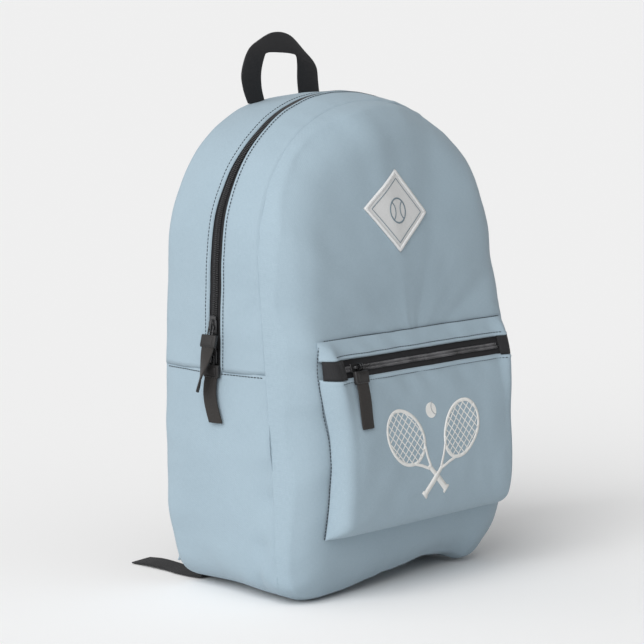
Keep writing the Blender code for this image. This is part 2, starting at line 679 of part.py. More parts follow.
def make_sliders():
    down, up, left = Vector((0, 0, -1)), Vector((0, 0, 1)), Vector((-1, 0, 0))
    back, front, right = Vector((0, 1, 0)), Vector((0, -1, 0)), Vector((1, 0, 0))
    for name, z, tilt in (
        ("main_upper", UPPER_SLIDER_Z, UPPER_PULL_TILT),
        ("main_lower", LOWER_SLIDER_Z, 0.0),
    ):
        base = strip_point(-rim_distance(z), ZIP_Y)
        slide = pivot_at(f"{name}_slider_pivot", base)
        make_slider(f"{name}_slider", axes_frame(base, up, front, left), slide)
        hinge = base + left * eye_height()
        swing = pivot_at(f"{name}_pull_pivot", hinge)
        lean = Matrix.Rotation(tilt, 3, "Y")
        frame = axes_frame(hinge, lean @ down, back, lean @ left)
        make_pull(f"{name}_pull", frame, swing, True)
    park_x = POCKET_SLIDER_INSET + SLIDER_LENGTH - POCKET_HALF_WIDTH
    base = pocket_point(park_x, POCKET_ZIP_Z)
    slide = pivot_at("pocket_slider_pivot", base)
    slope_up = pocket_up(park_x, POCKET_ZIP_Z)
    outward = right.cross(slope_up)
    make_slider("pocket_slider", axes_frame(base, right, slope_up, outward), slide)
    hinge = base + outward * bridge_height()
    swing = pivot_at("pocket_pull_pivot", hinge)
    lean = Matrix.Rotation(-POCKET_PULL_TILT, 3, "X")
    make_pull("pocket_pull", axes_frame(hinge, lean @ down, right, lean @ front), swing, False)


# ------------------------------------------------------------------ webbing and straps
def smooth_path(points, count):
    """Evenly numbered points on a smooth curve through the given ones."""
    points = [Vector(p) for p in points]
    padded = [2 * points[0] - points[1], *points, 2 * points[-1] - points[-2]]
    path = []
    for k in range(count + 1):
        place_on = k / count * (len(points) - 1)
        i = min(int(place_on), len(points) - 2)
        t = place_on - i
        a, b, c, d = padded[i:i + 4]
        path.append(0.5 * (2 * b + (c - a) * t + (2 * a - 5 * b + 4 * c - d) * t**2
                           + (3 * b - a - 3 * c + d) * t**3))
    return path


def make_band(name, centres, half_sides, finish, thickness, pivot=None, across=2):
    """A flat band through centres, with half its width given at each."""
    last = len(centres) - 1

    def point(u, v):
        k = round(u * last)
        return centres[k] + half_sides[k] * (2 * v - 1)

    bm = mapped_grid(last, across, point)
    bmesh.ops.recalc_face_normals(bm, faces=bm.faces)
    return thicken(place(name, bm, finish, pivot), thickness, 0.0)


def make_haul_loop():
    """One flat webbing whose face looks forward all the way round."""
    foot_z = BAG_HEIGHT + crown_at(LOOP_Y, BAG_HEIGHT) + GAP
    middle_z = BAG_HEIGHT + LOOP_HEIGHT - WEBBING_WIDTH / 2
    span, r, half = LOOP_HALF_SPAN, LOOP_CORNER, WEBBING_WIDTH / 2
    pivot = pivot_at("haul_loop_pivot", (0, LOOP_Y, foot_z))
    centres, sides = [], []
    for z in (foot_z, (foot_z + middle_z - r) / 2):
        centres.append(Vector((-span, LOOP_Y, z)))
        sides.append(Vector((half, 0, 0)))
    steps = 8
    for side in (-1, 1):
        for i in range(steps + 1):
            angle = math.pi / 2 * (i / steps if side < 0 else 1 - i / steps)
            out = Vector((side * math.cos(angle), 0, math.sin(angle)))
            centres.append(Vector((side * (span - r), LOOP_Y, middle_z - r)) + r * out)
            sides.append(-half * out)
    for z in ((foot_z + middle_z - r) / 2, foot_z):
        centres.append(Vector((span, LOOP_Y, z)))
        sides.append(Vector((-half, 0, 0)))
    make_band("haul_loop", centres, sides, WEBBING_BLACK, WEBBING, pivot)


BACK_FACE = BACK_Y + GAP + BACK_PAD + BACK_BULGE  # the back panel's outer face
STRAP_Y = BACK_FACE + GAP + STRAP_PAD / 2
LOCK_Z = STRAP_END_Z - LOCK_DROP - LOCK_LENGTH / 2


def make_shoulder_strap(label, side):
    pivot = pivot_at(f"{label}_strap_pivot", (side * STRAP_TOP_X, STRAP_Y, STRAP_TOP_Z))
    drop = STRAP_TOP_Z - STRAP_END_Z
    points = [
        (side * (STRAP_TOP_X + (STRAP_END_X - STRAP_TOP_X) * out), STRAP_Y + STRAP_BOW * bow,
         STRAP_TOP_Z - drop * fall)
        for fall, out, bow in STRAP_SHAPE
    ]
    count = 24
    centres = smooth_path(points, count)
    widths = np.interp(np.linspace(0, 1, count + 1), np.linspace(0, 1, 5), STRAP_HALF_WIDTHS)
    make_band(f"{label}_shoulder_strap", centres, [Vector((float(w), 0, 0)) for w in widths],
              PAD_BLACK, STRAP_PAD, pivot, across=4)
    lock_y = centres[-1].y
    lock = axes_frame(Vector((side * STRAP_END_X, lock_y, LOCK_Z)), Vector((0, 0, 1)),
                      Vector((1, 0, 0)), Vector((0, 1, 0)))
    bars = [-LOCK_LENGTH / 2 + LOCK_BAR, -LOCK_BAR / 2, LOCK_BAR / 2, LOCK_LENGTH / 2 - LOCK_BAR]
    bm = pierced_sheet([-LOCK_LENGTH / 2, *bars, LOCK_LENGTH / 2],
                       both_ways(WEBBING_WIDTH / 2 + GAP, LOCK_WIDTH / 2), [(1, 1), (3, 1)])
    bmesh.ops.transform(bm, matrix=lock, verts=bm.verts)
    thicken(place(f"{label}_ladder_lock", bm, BUCKLE_BLACK, pivot), LOCK_THICKNESS, 0.0)
    make_lower_webbing(label, side, lock_y)
    make_tail(label, side, lock_y, pivot)


def make_lower_webbing(label, side, lock_y):
    """The webbing from the lock down to its triangle of cloth at the bag's corner."""
    top_z = LOCK_Z - LOCK_LENGTH / 2 - GAP
    anchor_y = BACK_FACE + GAP + CLOTH / 2
    points = [
        (side * STRAP_END_X, lock_y, top_z),
        (side * (STRAP_END_X + 0.35 * (ANCHOR_X - STRAP_END_X)), anchor_y + LOWER_WEBBING_SLACK, 0.6 * top_z),
        (side * ANCHOR_X, anchor_y, ANCHOR_Z + ANCHOR_SIZE / 2 + GAP),
    ]
    half = Vector((WEBBING_WIDTH / 2, 0, 0))
    make_band(f"{label}_lower_webbing", smooth_path(points, 8), [half] * 9, WEBBING_BLACK, WEBBING)
    bm = box_mesh((side * ANCHOR_X - ANCHOR_SIZE / 2, anchor_y - CLOTH / 2, ANCHOR_Z - ANCHOR_SIZE / 2),
                  (side * ANCHOR_X + ANCHOR_SIZE / 2, anchor_y + CLOTH / 2, ANCHOR_Z + ANCHOR_SIZE / 2))
    place(f"{label}_strap_anchor", bm, CLOTH_BLUE)


def make_tail(label, side, lock_y, pivot):
    """The free end of the webbing: the left one lies on the floor, the right one hangs."""
    x = side * STRAP_END_X
    y = lock_y + LOCK_THICKNESS / 2 + GAP + WEBBING / 2
    start = LOCK_Z - LOCK_LENGTH / 4
    half = Vector((WEBBING_WIDTH / 2, 0, 0))
    floor = WEBBING / 2 + GAP
    if label == "right":
        points = [(x, y, start), (x, y + TAIL_SWAY, start - RIGHT_TAIL_LENGTH / 2),
                  (x, y + 0.75 * TAIL_SWAY, start - RIGHT_TAIL_LENGTH)]
        make_band("right_webbing_tail", smooth_path(points, 8), [half] * 9, WEBBING_BLACK, WEBBING, pivot)
        return
    points = [(x, y, start), (x, y + 1.25 * TAIL_SWAY, start * 0.55), (x, y + 2 * TAIL_SWAY, start * 0.18),
              (x, y + TAIL_BEND, floor + WEBBING), (x, y + 2 * TAIL_BEND, floor), (x, TAIL_REACH, floor)]
    make_band("left_webbing_tail", smooth_path(points, 20), [half] * 21, WEBBING_BLACK, WEBBING)


def make_yoke():
    low_z = STRAP_TOP_Z + GAP
    y = BACK_FACE + GAP
    bm = box_mesh((-YOKE_HALF_WIDTH, y, low_z), (YOKE_HALF_WIDTH, y + 2 * CLOTH, low_z + YOKE_HEIGHT))
    place("strap_yoke", bm, CLOTH_BLUE)


def main():
    for obj in list(bpy.data.objects):
        bpy.data.objects.remove(obj, do_unlink=True)
    flap = pivot_at("front_flap_pivot", (0, panel_y(0, FOLD_Z), FOLD_Z))
    make_side_strips(flap)
    make_main_zip(flap)
    make_seam_bindings(flap)
    make_front_panel(flap)
    make_back_panel()
    make_sleeve()
    make_pocket()
    make_patch(flap)
    make_sliders()
    make_haul_loop()
    make_yoke()
    for label, side in (("left", -1), ("right", 1)):
        make_shoulder_strap(label, side)


main()
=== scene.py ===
"""Looks of the racket backpack: cloth, webbing, zips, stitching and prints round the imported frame."""

import functools
import json
import math

import bmesh
import bpy
import numpy as np
from mathutils import Matrix, Vector, noise


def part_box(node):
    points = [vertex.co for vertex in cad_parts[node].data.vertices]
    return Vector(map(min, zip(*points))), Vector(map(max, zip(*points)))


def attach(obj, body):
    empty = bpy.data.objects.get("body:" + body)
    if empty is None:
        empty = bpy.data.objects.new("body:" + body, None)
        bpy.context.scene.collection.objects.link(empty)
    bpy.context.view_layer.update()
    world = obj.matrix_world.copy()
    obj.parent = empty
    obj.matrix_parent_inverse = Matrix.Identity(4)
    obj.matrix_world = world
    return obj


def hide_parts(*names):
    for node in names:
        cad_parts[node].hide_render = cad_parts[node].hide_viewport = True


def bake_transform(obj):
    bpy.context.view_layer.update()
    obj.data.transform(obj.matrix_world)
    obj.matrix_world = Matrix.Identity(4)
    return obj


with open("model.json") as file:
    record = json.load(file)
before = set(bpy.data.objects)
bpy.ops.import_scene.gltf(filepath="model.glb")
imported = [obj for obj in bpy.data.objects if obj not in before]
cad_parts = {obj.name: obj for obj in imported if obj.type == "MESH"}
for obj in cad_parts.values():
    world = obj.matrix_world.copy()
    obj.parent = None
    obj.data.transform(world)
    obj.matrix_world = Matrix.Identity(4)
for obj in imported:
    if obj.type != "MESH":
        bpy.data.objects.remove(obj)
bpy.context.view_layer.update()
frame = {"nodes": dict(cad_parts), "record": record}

# ------------------------------------------------------------------ sizes from the frame
BACK_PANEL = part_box("back_panel")
REAR_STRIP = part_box("rear_strip")
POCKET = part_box("pocket_panel")
POCKET_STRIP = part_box("pocket_top_strip")
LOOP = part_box("haul_loop")
SEAM_GAP = 0.0004
BAG_WIDTH = BACK_PANEL[1][0] - BACK_PANEL[0][0]
BAG_HEIGHT = BACK_PANEL[1][2] - BACK_PANEL[0][2]
BACK_Y = REAR_STRIP[1][1] + SEAM_GAP / 2
ZIP_END_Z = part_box("base_gusset")[1][2] + SEAM_GAP / 2
ZIP_HALF = 0.0063
ZIP_Y = REAR_STRIP[0][1] - ZIP_HALF
POCKET_HALF_WIDTH = POCKET[1][0]
POCKET_BOTTOM = POCKET[0][2]
POCKET_TOP = POCKET_STRIP[1][2]
POCKET_ZIP_HALF = 0.0075
POCKET_ZIP_Z = POCKET[1][2] + POCKET_ZIP_HALF
PATCH_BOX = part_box("front_patch")

# ------------------------------------------------------------------ the cut of the bag
ARCH_HEIGHT = 0.139
ARCH_POWER = 2.1
CORNER_RADIUS = 0.050
FRONT_Y_BASE = 0.075
FRONT_Y_TOP = 0.040
FRONT_TAPER_HEIGHT = 0.400
CROWN = 0.007
CLOTH = 0.0016
PANEL_BULGE = 0.037
PANEL_BULGE_AT_FLOOR = 0.55
PANEL_FULL_HEIGHT = 0.150
PANEL_TAPER = 0.100
PANEL_EDGE = 0.045
POCKET_DEPTH = 0.021
POCKET_SWELL = 0.046
POCKET_HEM = 0.027
POCKET_RIM = 0.7
POCKET_SQUARE_TOP = 14
POCKET_SQUARE_RISE = 8
STITCH_INSET = 0.0036  # topstitching behind a folded edge


def smooth_step(value):
    value = min(max(value, 0.0), 1.0)
    return value * value * (3 - 2 * value)


def wave(seed, *place, scale=1.0):
    """Smooth noise from -1 to 1, the same on each run."""
    point = Vector([c * scale for c in (*place, 0.0, 0.0)[:3]]) + Vector((seed * 7.31, seed * 3.17, seed))
    return noise.noise(point) * 1.6


def half_outline(samples=240):
    half, r = BAG_WIDTH / 2, CORNER_RADIUS
    arch_z = BAG_HEIGHT - ARCH_HEIGHT
    points = [(0.0, 0.0), (half - r, 0.0)]
    for i in range(1, samples // 4):
        angle = math.pi / 2 * i / (samples // 4)
        points.append((half - r + r * math.sin(angle), r - r * math.cos(angle)))
    points += [(half, r), (half, arch_z)]
    for i in range(1, samples):
        angle = math.pi / 2 * i / samples
        points.append((half * math.cos(angle) ** (2 / ARCH_POWER),
                       arch_z + ARCH_HEIGHT * math.sin(angle) ** (2 / ARCH_POWER)))
    points.append((0.0, BAG_HEIGHT))
    return np.array(points)


OUTLINE = half_outline()
OUTLINE_AT = np.concatenate([[0.0], np.cumsum(np.linalg.norm(np.diff(OUTLINE, axis=0), axis=1))])
HALF_LENGTH = float(OUTLINE_AT[-1])


def rim_distance(z):
    """How far along the half outline the straight side reaches the height z."""
    corner = BAG_WIDTH / 2 - CORNER_RADIUS + math.pi / 2 * CORNER_RADIUS
    return corner + z - CORNER_RADIUS


ARCH_START = rim_distance(ZIP_END_Z)
ARCH_END = 2 * HALF_LENGTH - ARCH_START


@functools.lru_cache(maxsize=None)
def rim(distance):
    """(x, z, outward x, outward z) at a distance round the outline from the base's middle."""
    side = 1.0
    if distance < 0:
        side, distance = -1.0, -distance
    if distance > HALF_LENGTH:
        side, distance = -side, 2 * HALF_LENGTH - distance
    step = 0.002
    x, z = (float(np.interp(distance, OUTLINE_AT, OUTLINE[:, k])) for k in (0, 1))
    before, after = max(distance - step, 0.0), min(distance + step, HALF_LENGTH)
    dx, dz = (
        float(np.interp(after, OUTLINE_AT, OUTLINE[:, k]))
        - float(np.interp(before, OUTLINE_AT, OUTLINE[:, k]))
        for k in (0, 1)
    )
    length = math.hypot(dx, dz)
    return side * x, z, side * dz / length, -dx / length


def front_y(z):
    share = min(max(z / FRONT_TAPER_HEIGHT, 0.0), 1.0)
    return -(FRONT_Y_BASE + (FRONT_Y_TOP - FRONT_Y_BASE) * share)


def inside_distance(x, z):
    steps = OUTLINE[1:] - OUTLINE[:-1]
    to_point = np.array([abs(x), z]) - OUTLINE[:-1]
    share = np.clip((to_point * steps).sum(1) / (steps**2).sum(1), 0, 1)
    return float(np.linalg.norm(to_point - steps * share[:, None], axis=1).min())


# ------------------------------------------------------------------ soft faces of the cloth
def slump(point):
    """The empty bag settles on its floor: its front foot draws in and its corners soften."""
    x, y, z = point
    low = smooth_step(1 - z / 0.10)
    front, back = smooth_step((0.015 - y) / 0.075), smooth_step((y + 0.01) / 0.06)
    corner = smooth_step((abs(x) - 0.080) / 0.035)
    side = 1 if x > 0 else -1
    away = smooth_step((x + 0.06) / 0.16)
    tight = math.exp(-(((z - 0.013) / 0.015) ** 2)) * (0.0085 if x < 0 else -0.003)
    shift = front * tight - back * 0.0080 * math.exp(-(((z - 0.036) / 0.024) ** 2))
    shift -= back * 0.0040 * math.exp(-(((z - 0.285) / 0.045) ** 2))
    rise = 0.0100 * math.exp(-(((x - 0.004) / 0.066) ** 2)) + 0.0085 * smooth_step(x / 0.06) * (1 - corner)
    side_rise = 0.0042 * smooth_step(abs(x) / 0.09) * smooth_step((y + 0.075) / 0.10)
    return Vector((x + side * corner * shift, y + low * front * (0.0060 + 0.0085 * away),
                   z + smooth_step(1 - z / 0.06) * (front * rise + side_rise)))


def zip_half(z):
    """Half the opening over the main zip: the cloth edges draw together round the top."""
    return ZIP_HALF - 0.0032 * smooth_step((z - 0.325) / 0.08)


def behind_zip(z):
    return ZIP_Y + zip_half(z)


def before_zip(z):
    return ZIP_Y - zip_half(z)


def tuck(distance, depth=0.0016, reach=0.0022):
    """How far a sewn edge dives into its seam."""
    return depth * math.exp(-((distance / reach) ** 2))


def puckers(along, inward, seed, height=0.0006, length=0.012, reach=0.014):
    """Short gathers that run square off a seam and die out."""
    fade = math.exp(-inward / reach) * min(inward / 0.002, 1.0)
    return height * fade * wave(seed, along / length, inward * 14)


BACK_ROLL = 0.0050  # the side cloth rolls over into the back seam
SIDE_DENTS = (  # height, place across, size and depth of soft dents near the left front foot
    (0.050, -0.052, 0.011, 0.0040), (0.030, -0.060, 0.008, -0.0028), (0.018, -0.050, 0.010, 0.0032),
    (0.090, -0.060, 0.016, 0.0024), (0.135, -0.058, 0.013, -0.0022), (0.255, -0.046, 0.012, 0.0016),
)


def strip_point(distance, y, lift=0.0):
    """A point on the side strip, with its sag, seams and gathers."""
    x, z, out_x, out_z = rim(distance)
    edge = BACK_Y if y > 0 else front_y(z)
    crown = CROWN * smooth_step((z - 0.03) / 0.12) * (1 - min(abs(y / edge), 1.0) ** 2)
    from_back, from_front = BACK_Y - y, y - front_y(z)
    rise = crown + lift
    quiet = smooth_step(z / 0.05)
    rise += quiet * 0.0011 * wave(3, distance * 13, y * 16)
    rise += quiet * 0.0006 * wave(5, distance * 40, y * 45)
    rise += puckers(distance, max(from_back, 0.0), 11) * quiet
    rise += puckers(distance, max(from_front, 0.0), 12, 0.0008) * quiet
    rise -= tuck(from_front, 0.0006)
    rise += 0.0007 * math.exp(-(((from_front - 0.0025) / 0.0016) ** 2))
    if from_back < BACK_ROLL * 0.3:
        over = min(BACK_ROLL * 0.3 - from_back, BACK_ROLL * 0.98)
        rise -= BACK_ROLL - math.sqrt(BACK_ROLL**2 - over**2)
    for at_z, at_y, reach, height in SIDE_DENTS:
        if x < 0:
            rise -= height * math.exp(-(((z - at_z) / reach) ** 2) - ((y - at_y) / (reach * 0.6)) ** 2)
    return slump((x + rise * out_x, y, z + rise * out_z))


def folds(x, z, inward):
    """Soft tension folds that run in from the front panel's seam."""
    angle = math.atan2(z - 0.20, x)
    total = 0.0
    for at, width, reach, height in (
        (1.72, 0.10, 0.060, 0.0030), (2.05, 0.13, 0.045, -0.0022), (2.42, 0.10, 0.060, 0.0020),
        (2.75, 0.09, 0.055, -0.0024), (2.98, 0.07, 0.050, 0.0022), (3.45, 0.11, 0.040, -0.0022),
        (-2.55, 0.10, 0.045, 0.0020), (1.30, 0.12, 0.060, -0.0028), (0.95, 0.12, 0.050, 0.0022),
        (0.55, 0.10, 0.055, -0.0022), (0.15, 0.10, 0.045, 0.0018), (-0.60, 0.12, 0.040, -0.0020),
    ):
        off = (angle - at + math.pi) % (2 * math.pi) - math.pi
        fade = math.exp(-((off / width) ** 2)) * math.exp(-inward / reach)
        total += 1.7 * height * fade * min(inward / 0.006, 1.0)
    return total


def dome(x, z):
    """The filled top of the front swells most along its middle."""
    return 0.010 * max(1 - (x / 0.125) ** 2, 0.0) * smooth_step((z - POCKET_TOP) / 0.07)


def panel_y(x, z):
    """The outer face of the front panel."""
    inward = inside_distance(x, z)
    share = min(inward / PANEL_EDGE, 1.0)
    rounded = (1 - (1 - share) ** 3) ** 0.8
    low = PANEL_BULGE_AT_FLOOR
    full = PANEL_BULGE * (low + (1 - low) * smooth_step(z / PANEL_FULL_HEIGHT))
    full += dome(x, z) - PANEL_TAPER * max(z - POCKET_TOP, 0.0)
    y = front_y(z) - SEAM_GAP - CLOTH - full * rounded
    along = math.atan2(z - 0.20, x) * 0.17
    y -= folds(x, z, inward) + 0.0011 * math.exp(-(((inward - 0.0042) / 0.0030) ** 2))
    y -= min(inward / 0.03, 1.0) * (0.0013 * wave(21, x * 11, z * 9) + 0.0005 * wave(22, x * 34, z * 30))
    return y - puckers(along, inward, 23, 0.0010, 0.011, 0.012) + tuck(inward, 0.0032, 0.0022)


def pocket_half(z):
    """The pocket is cut a little wider round its mouth."""
    return POCKET_HALF_WIDTH + 0.0070 * smooth_step((z - 0.140) / 0.060)


def pocket_lift(x, z):
    """How far the pocket's face stands in front of the front panel."""
    across = min(abs(x) / pocket_half(z), 1.0)
    squareness = POCKET_SQUARE_TOP + POCKET_SQUARE_RISE * smooth_step((0.15 - z) / 0.09)
    sides = max(1 - across**squareness, 0.0) ** POCKET_RIM
    ends = smooth_step((abs(x) - 0.098) / 0.018)
    swell = 1 - math.exp(-max(POCKET_TOP - z, 0.0) / (POCKET_SWELL * (1 - 0.68 * ends)))
    hem = max(POCKET_BOTTOM + POCKET_HEM - z, 0.0) / POCKET_HEM
    bottom = max(1 - hem**5, 0.0) ** POCKET_RIM
    return SEAM_GAP + CLOTH + POCKET_DEPTH * swell * sides * bottom


def pocket_y(x, z):
    """The pocket's face with its own soft folds."""
    y = panel_y(x, z) * 0.35 + smooth_panel_y(x, z) * 0.65 - pocket_lift(x, z)
    inner = min((pocket_half(z) - abs(x)) / 0.010, (z - POCKET_BOTTOM) / 0.012, 1.0)
    inner = max(inner, 0.0)
    y -= inner * (0.0010 * wave(31, x * 17, z * 14) + 0.0005 * wave(32, x * 50, z * 36))
    from_zip = abs(z - POCKET_ZIP_Z) - POCKET_ZIP_HALF
    if from_zip > 0:
        slant = x + 0.9 * (z - POCKET_ZIP_Z)
        y -= 0.0016 * math.exp(-from_zip / 0.014) * wave(33, slant * 46, 0.3) * min(from_zip / 0.004, 1)
    return y


def smooth_panel_y(x, z):
    inward = inside_distance(x, z)
    share = min(inward / PANEL_EDGE, 1.0)
    low = PANEL_BULGE_AT_FLOOR
    full = PANEL_BULGE * (low + (1 - low) * smooth_step(z / PANEL_FULL_HEIGHT))
    full += dome(x, z) - PANEL_TAPER * max(z - POCKET_TOP, 0.0)
    return front_y(z) - SEAM_GAP - CLOTH - full * (1 - (1 - share) ** 3) ** 0.8


def face_frame(point_at, a, b, step=0.0012):
    """(point, along a, along b, outward) of a surface given by two distances."""
    point = point_at(a, b)
    first = (point_at(a + step, b) - point_at(a - step, b)).normalized()
    second = (point_at(a, b + step) - point_at(a, b - step)).normalized()
    outward = first.cross(second).normalized()
    if outward.dot(point - Vector((0, 0, 0.2))) < 0:
        outward = -outward
    return point, first, second, outward


def panel_point(x, z):
    return slump((x, panel_y(x, z), z))


def pocket_point(x, z):
    return slump((x, pocket_y(x, z), z))


# ------------------------------------------------------------------ making pieces
def piece(name, bm, look, slot, body=None, stands_for=(), wall=None, offset=-1.0, levels=0, sharp=None):
    """Turns a bmesh in world metres into a finished piece."""
    mesh = bpy.data.meshes.new(name)
    bm.to_mesh(mesh)
    bm.free()
    mesh.shade_smooth()
    if sharp is not None:
        mesh.set_sharp_from_angle(angle=math.radians(sharp))
    mesh.materials.append(look)
    obj = bpy.data.objects.new(name, mesh)
    bpy.context.scene.collection.objects.link(obj)
    if wall:
        thick = obj.modifiers.new("wall", "SOLIDIFY")
        thick.thickness = wall
        thick.offset = offset
        thick.use_even_offset = True
    if levels:
        rounder = obj.modifiers.new("rounder", "SUBSURF")
        rounder.levels = levels
        rounder.render_levels = levels
    if body:
        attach(obj, body)
    if stands_for:
        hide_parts(*stands_for)
    return obj


def mapped_grid(columns, rows, point_at, size=(1.0, 1.0), merge=False):
    """A grid whose vertex at (u, v) goes to point_at(u, v), with its weave laid out in metres."""
    bm = bmesh.new()
    bmesh.ops.create_grid(bm, x_segments=columns, y_segments=rows, size=0.5, calc_uvs=True)
    weave = bm.loops.layers.uv.verify()
    for face in bm.faces:
        for loop in face.loops:
            loop[weave].uv = ((loop.vert.co.x + 0.5) * size[0], (loop.vert.co.y + 0.5) * size[1])
    for vert in bm.verts:
        vert.co = point_at(vert.co.x + 0.5, vert.co.y + 0.5)
    if merge:
        bmesh.ops.remove_doubles(bm, verts=bm.verts, dist=1e-6)
    bmesh.ops.recalc_face_normals(bm, faces=bm.faces)
    return bm


def turn_out(bm, middle=(0.0, 0.0, 0.2)):
    """Points an open sheet's faces away from a place inside the bag."""
    middle = Vector(middle)
    bm.normal_update()
    outward = sum(f.normal.dot(f.calc_center_median() - middle) * f.calc_area() for f in bm.faces)
    if outward < 0:
        bmesh.ops.reverse_faces(bm, faces=bm.faces)
    return bm


def flat_weave(bm, first="x", second="z"):
    """Lays the weave out flat along two axes."""
    weave = bm.loops.layers.uv.verify()
    for face in bm.faces:
        for loop in face.loops:
            co = loop.vert.co
            loop[weave].uv = (getattr(co, first), getattr(co, second))
    return bm


# ------------------------------------------------------------------ finishes
SKY_LIGHT = 0.97
SUN_LIGHT = 2.24
SUN_FROM = (-0.800, -0.215, 0.553)
SKY_FROM = (-0.920, 0.120, 0.240)


def new_look(name, colour, roughness, metallic=0.0, sheen=0.0, specular=0.5):
    look = bpy.data.materials.new(name)
    look.use_nodes = True
    shader = look.node_tree.nodes["Principled BSDF"]
    shader.inputs["Base Color"].default_value = (*colour, 1)
    shader.inputs["Roughness"].default_value = roughness
    shader.inputs["Metallic"].default_value = metallic
    shader.inputs["Sheen Weight"].default_value = sheen
    shader.inputs["Sheen Roughness"].default_value = 0.5
    shader.inputs["Specular IOR Level"].default_value = specular
    return look, look.node_tree, shader


def math_node(tree, operation, first, second=None):
    node = tree.nodes.new("ShaderNodeMath")
    node.operation = operation
    for socket, value in zip(node.inputs, (first, second)):
        if value is None:
            continue
        if isinstance(value, (int, float)):
            socket.default_value = value
        else:
            tree.links.new(value, socket)
    return node.outputs[0]


def noise_node(tree, coordinates, scale, detail=3.0, stretch=(1, 1, 1), roughness=0.55):
    place = tree.nodes.new("ShaderNodeMapping")
    place.inputs["Scale"].default_value = stretch
    tree.links.new(coordinates, place.inputs["Vector"])
    grain = tree.nodes.new("ShaderNodeTexNoise")
    grain.inputs["Scale"].default_value = scale
    grain.inputs["Detail"].default_value = detail
    grain.inputs["Roughness"].default_value = roughness
    tree.links.new(place.outputs[0], grain.inputs["Vector"])
    return grain.outputs["Fac"]


def blend_colours(tree, factor, first, second):
    mix = tree.nodes.new("ShaderNodeMix")
    mix.data_type = "RGBA"
    tree.links.new(factor, mix.inputs[0])
    for socket, value in ((mix.inputs[6], first), (mix.inputs[7], second)):
        if isinstance(value, tuple):
            socket.default_value = (*value, 1)
        else:
            tree.links.new(value, socket)
    return mix.outputs[2]


def remap(tree, value, low, high, to_low=0.0, to_high=1.0):
    node = tree.nodes.new("ShaderNodeMapRange")
    tree.links.new(value, node.inputs[0])
    for socket, number in zip(node.inputs[1:5], (low, high, to_low, to_high)):
        socket.default_value = number
    return node.outputs[0]


def set_bump(tree, shader, height, strength, distance):
    bump = tree.nodes.new("ShaderNodeBump")
    bump.inputs["Strength"].default_value = strength
    bump.inputs["Distance"].default_value = distance
    tree.links.new(height, bump.inputs["Height"])
    tree.links.new(bump.outputs[0], shader.inputs["Normal"])


def woven_look(name, dark, light, thread, roughness=0.85, sheen=0.1, relief=0.00012, ribs=False,
               slub=0.5, specular=0.3):
    """Woven cloth: threads over and under on the piece's own weave map, with slubs and soft tone."""
    look, tree, shader = new_look(name, light, roughness, sheen=sheen, specular=specular)
    layout = tree.nodes.new("ShaderNodeUVMap")
    parts = tree.nodes.new("ShaderNodeSeparateXYZ")
    tree.links.new(layout.outputs[0], parts.inputs[0])
    turn = 2 * math.pi / thread
    across = math_node(tree, "SINE", math_node(tree, "MULTIPLY", parts.outputs[0], turn))
    along = math_node(tree, "SINE", math_node(tree, "MULTIPLY", parts.outputs[1], turn * (0.3 if ribs else 1)))
    threads = math_node(tree, "MULTIPLY", across, along)
    if ribs:
        threads = math_node(tree, "ADD", math_node(tree, "ABSOLUTE", across),
                            math_node(tree, "MULTIPLY", threads, 0.25))
    warp = noise_node(tree, layout.outputs[0], 260, 2, (8, 0.9, 1))
    weft = noise_node(tree, layout.outputs[0], 260, 2, (0.9, 8, 1))
    slubs = math_node(tree, "ADD", warp, weft)
    solid = tree.nodes.new("ShaderNodeTexCoord")
    tone = noise_node(tree, solid.outputs["Object"], 9, 4)
    fine = math_node(tree, "ADD", math_node(tree, "MULTIPLY", slubs, slub), math_node(tree, "MULTIPLY", tone, 0.5))
    fine = math_node(tree, "ADD", fine, math_node(tree, "MULTIPLY", threads, 0.08))
    colour = blend_colours(tree, remap(tree, fine, 0.35, 1.15), dark, light)
    tree.links.new(colour, shader.inputs["Base Color"])
    rough = remap(tree, slubs, 0.6, 1.4, roughness - 0.07, roughness + 0.07)
    tree.links.new(rough, shader.inputs["Roughness"])
    height = math_node(tree, "ADD", math_node(tree, "MULTIPLY", threads, 0.5), slubs)
    set_bump(tree, shader, height, 0.6, relief)
    return look


def moulded_look(name, colour, roughness, metallic=0.0, relief=0.00004, scale=900):
    """Moulded or enamelled finish: fine grain, soft tone and lighter worn edges."""
    look, tree, shader = new_look(name, colour, roughness, metallic)
    solid = tree.nodes.new("ShaderNodeTexCoord").outputs["Object"]
    tone = noise_node(tree, solid, 60, 4)
    geometry = tree.nodes.new("ShaderNodeNewGeometry")
    worn = remap(tree, geometry.outputs["Pointiness"], 0.52, 0.60)
    worn = math_node(tree, "MULTIPLY", worn, remap(tree, tone, 0.35, 0.65))
    light = tuple(min(c * 3.2 + 0.02, 1.0) for c in colour)
    tree.links.new(blend_colours(tree, worn, colour, light), shader.inputs["Base Color"])
    rough = remap(tree, tone, 0.3, 0.7, roughness - 0.06, roughness + 0.08)
    tree.links.new(rough, shader.inputs["Roughness"])
    set_bump(tree, shader, noise_node(tree, solid, scale, 2), 0.4, relief)
    return look


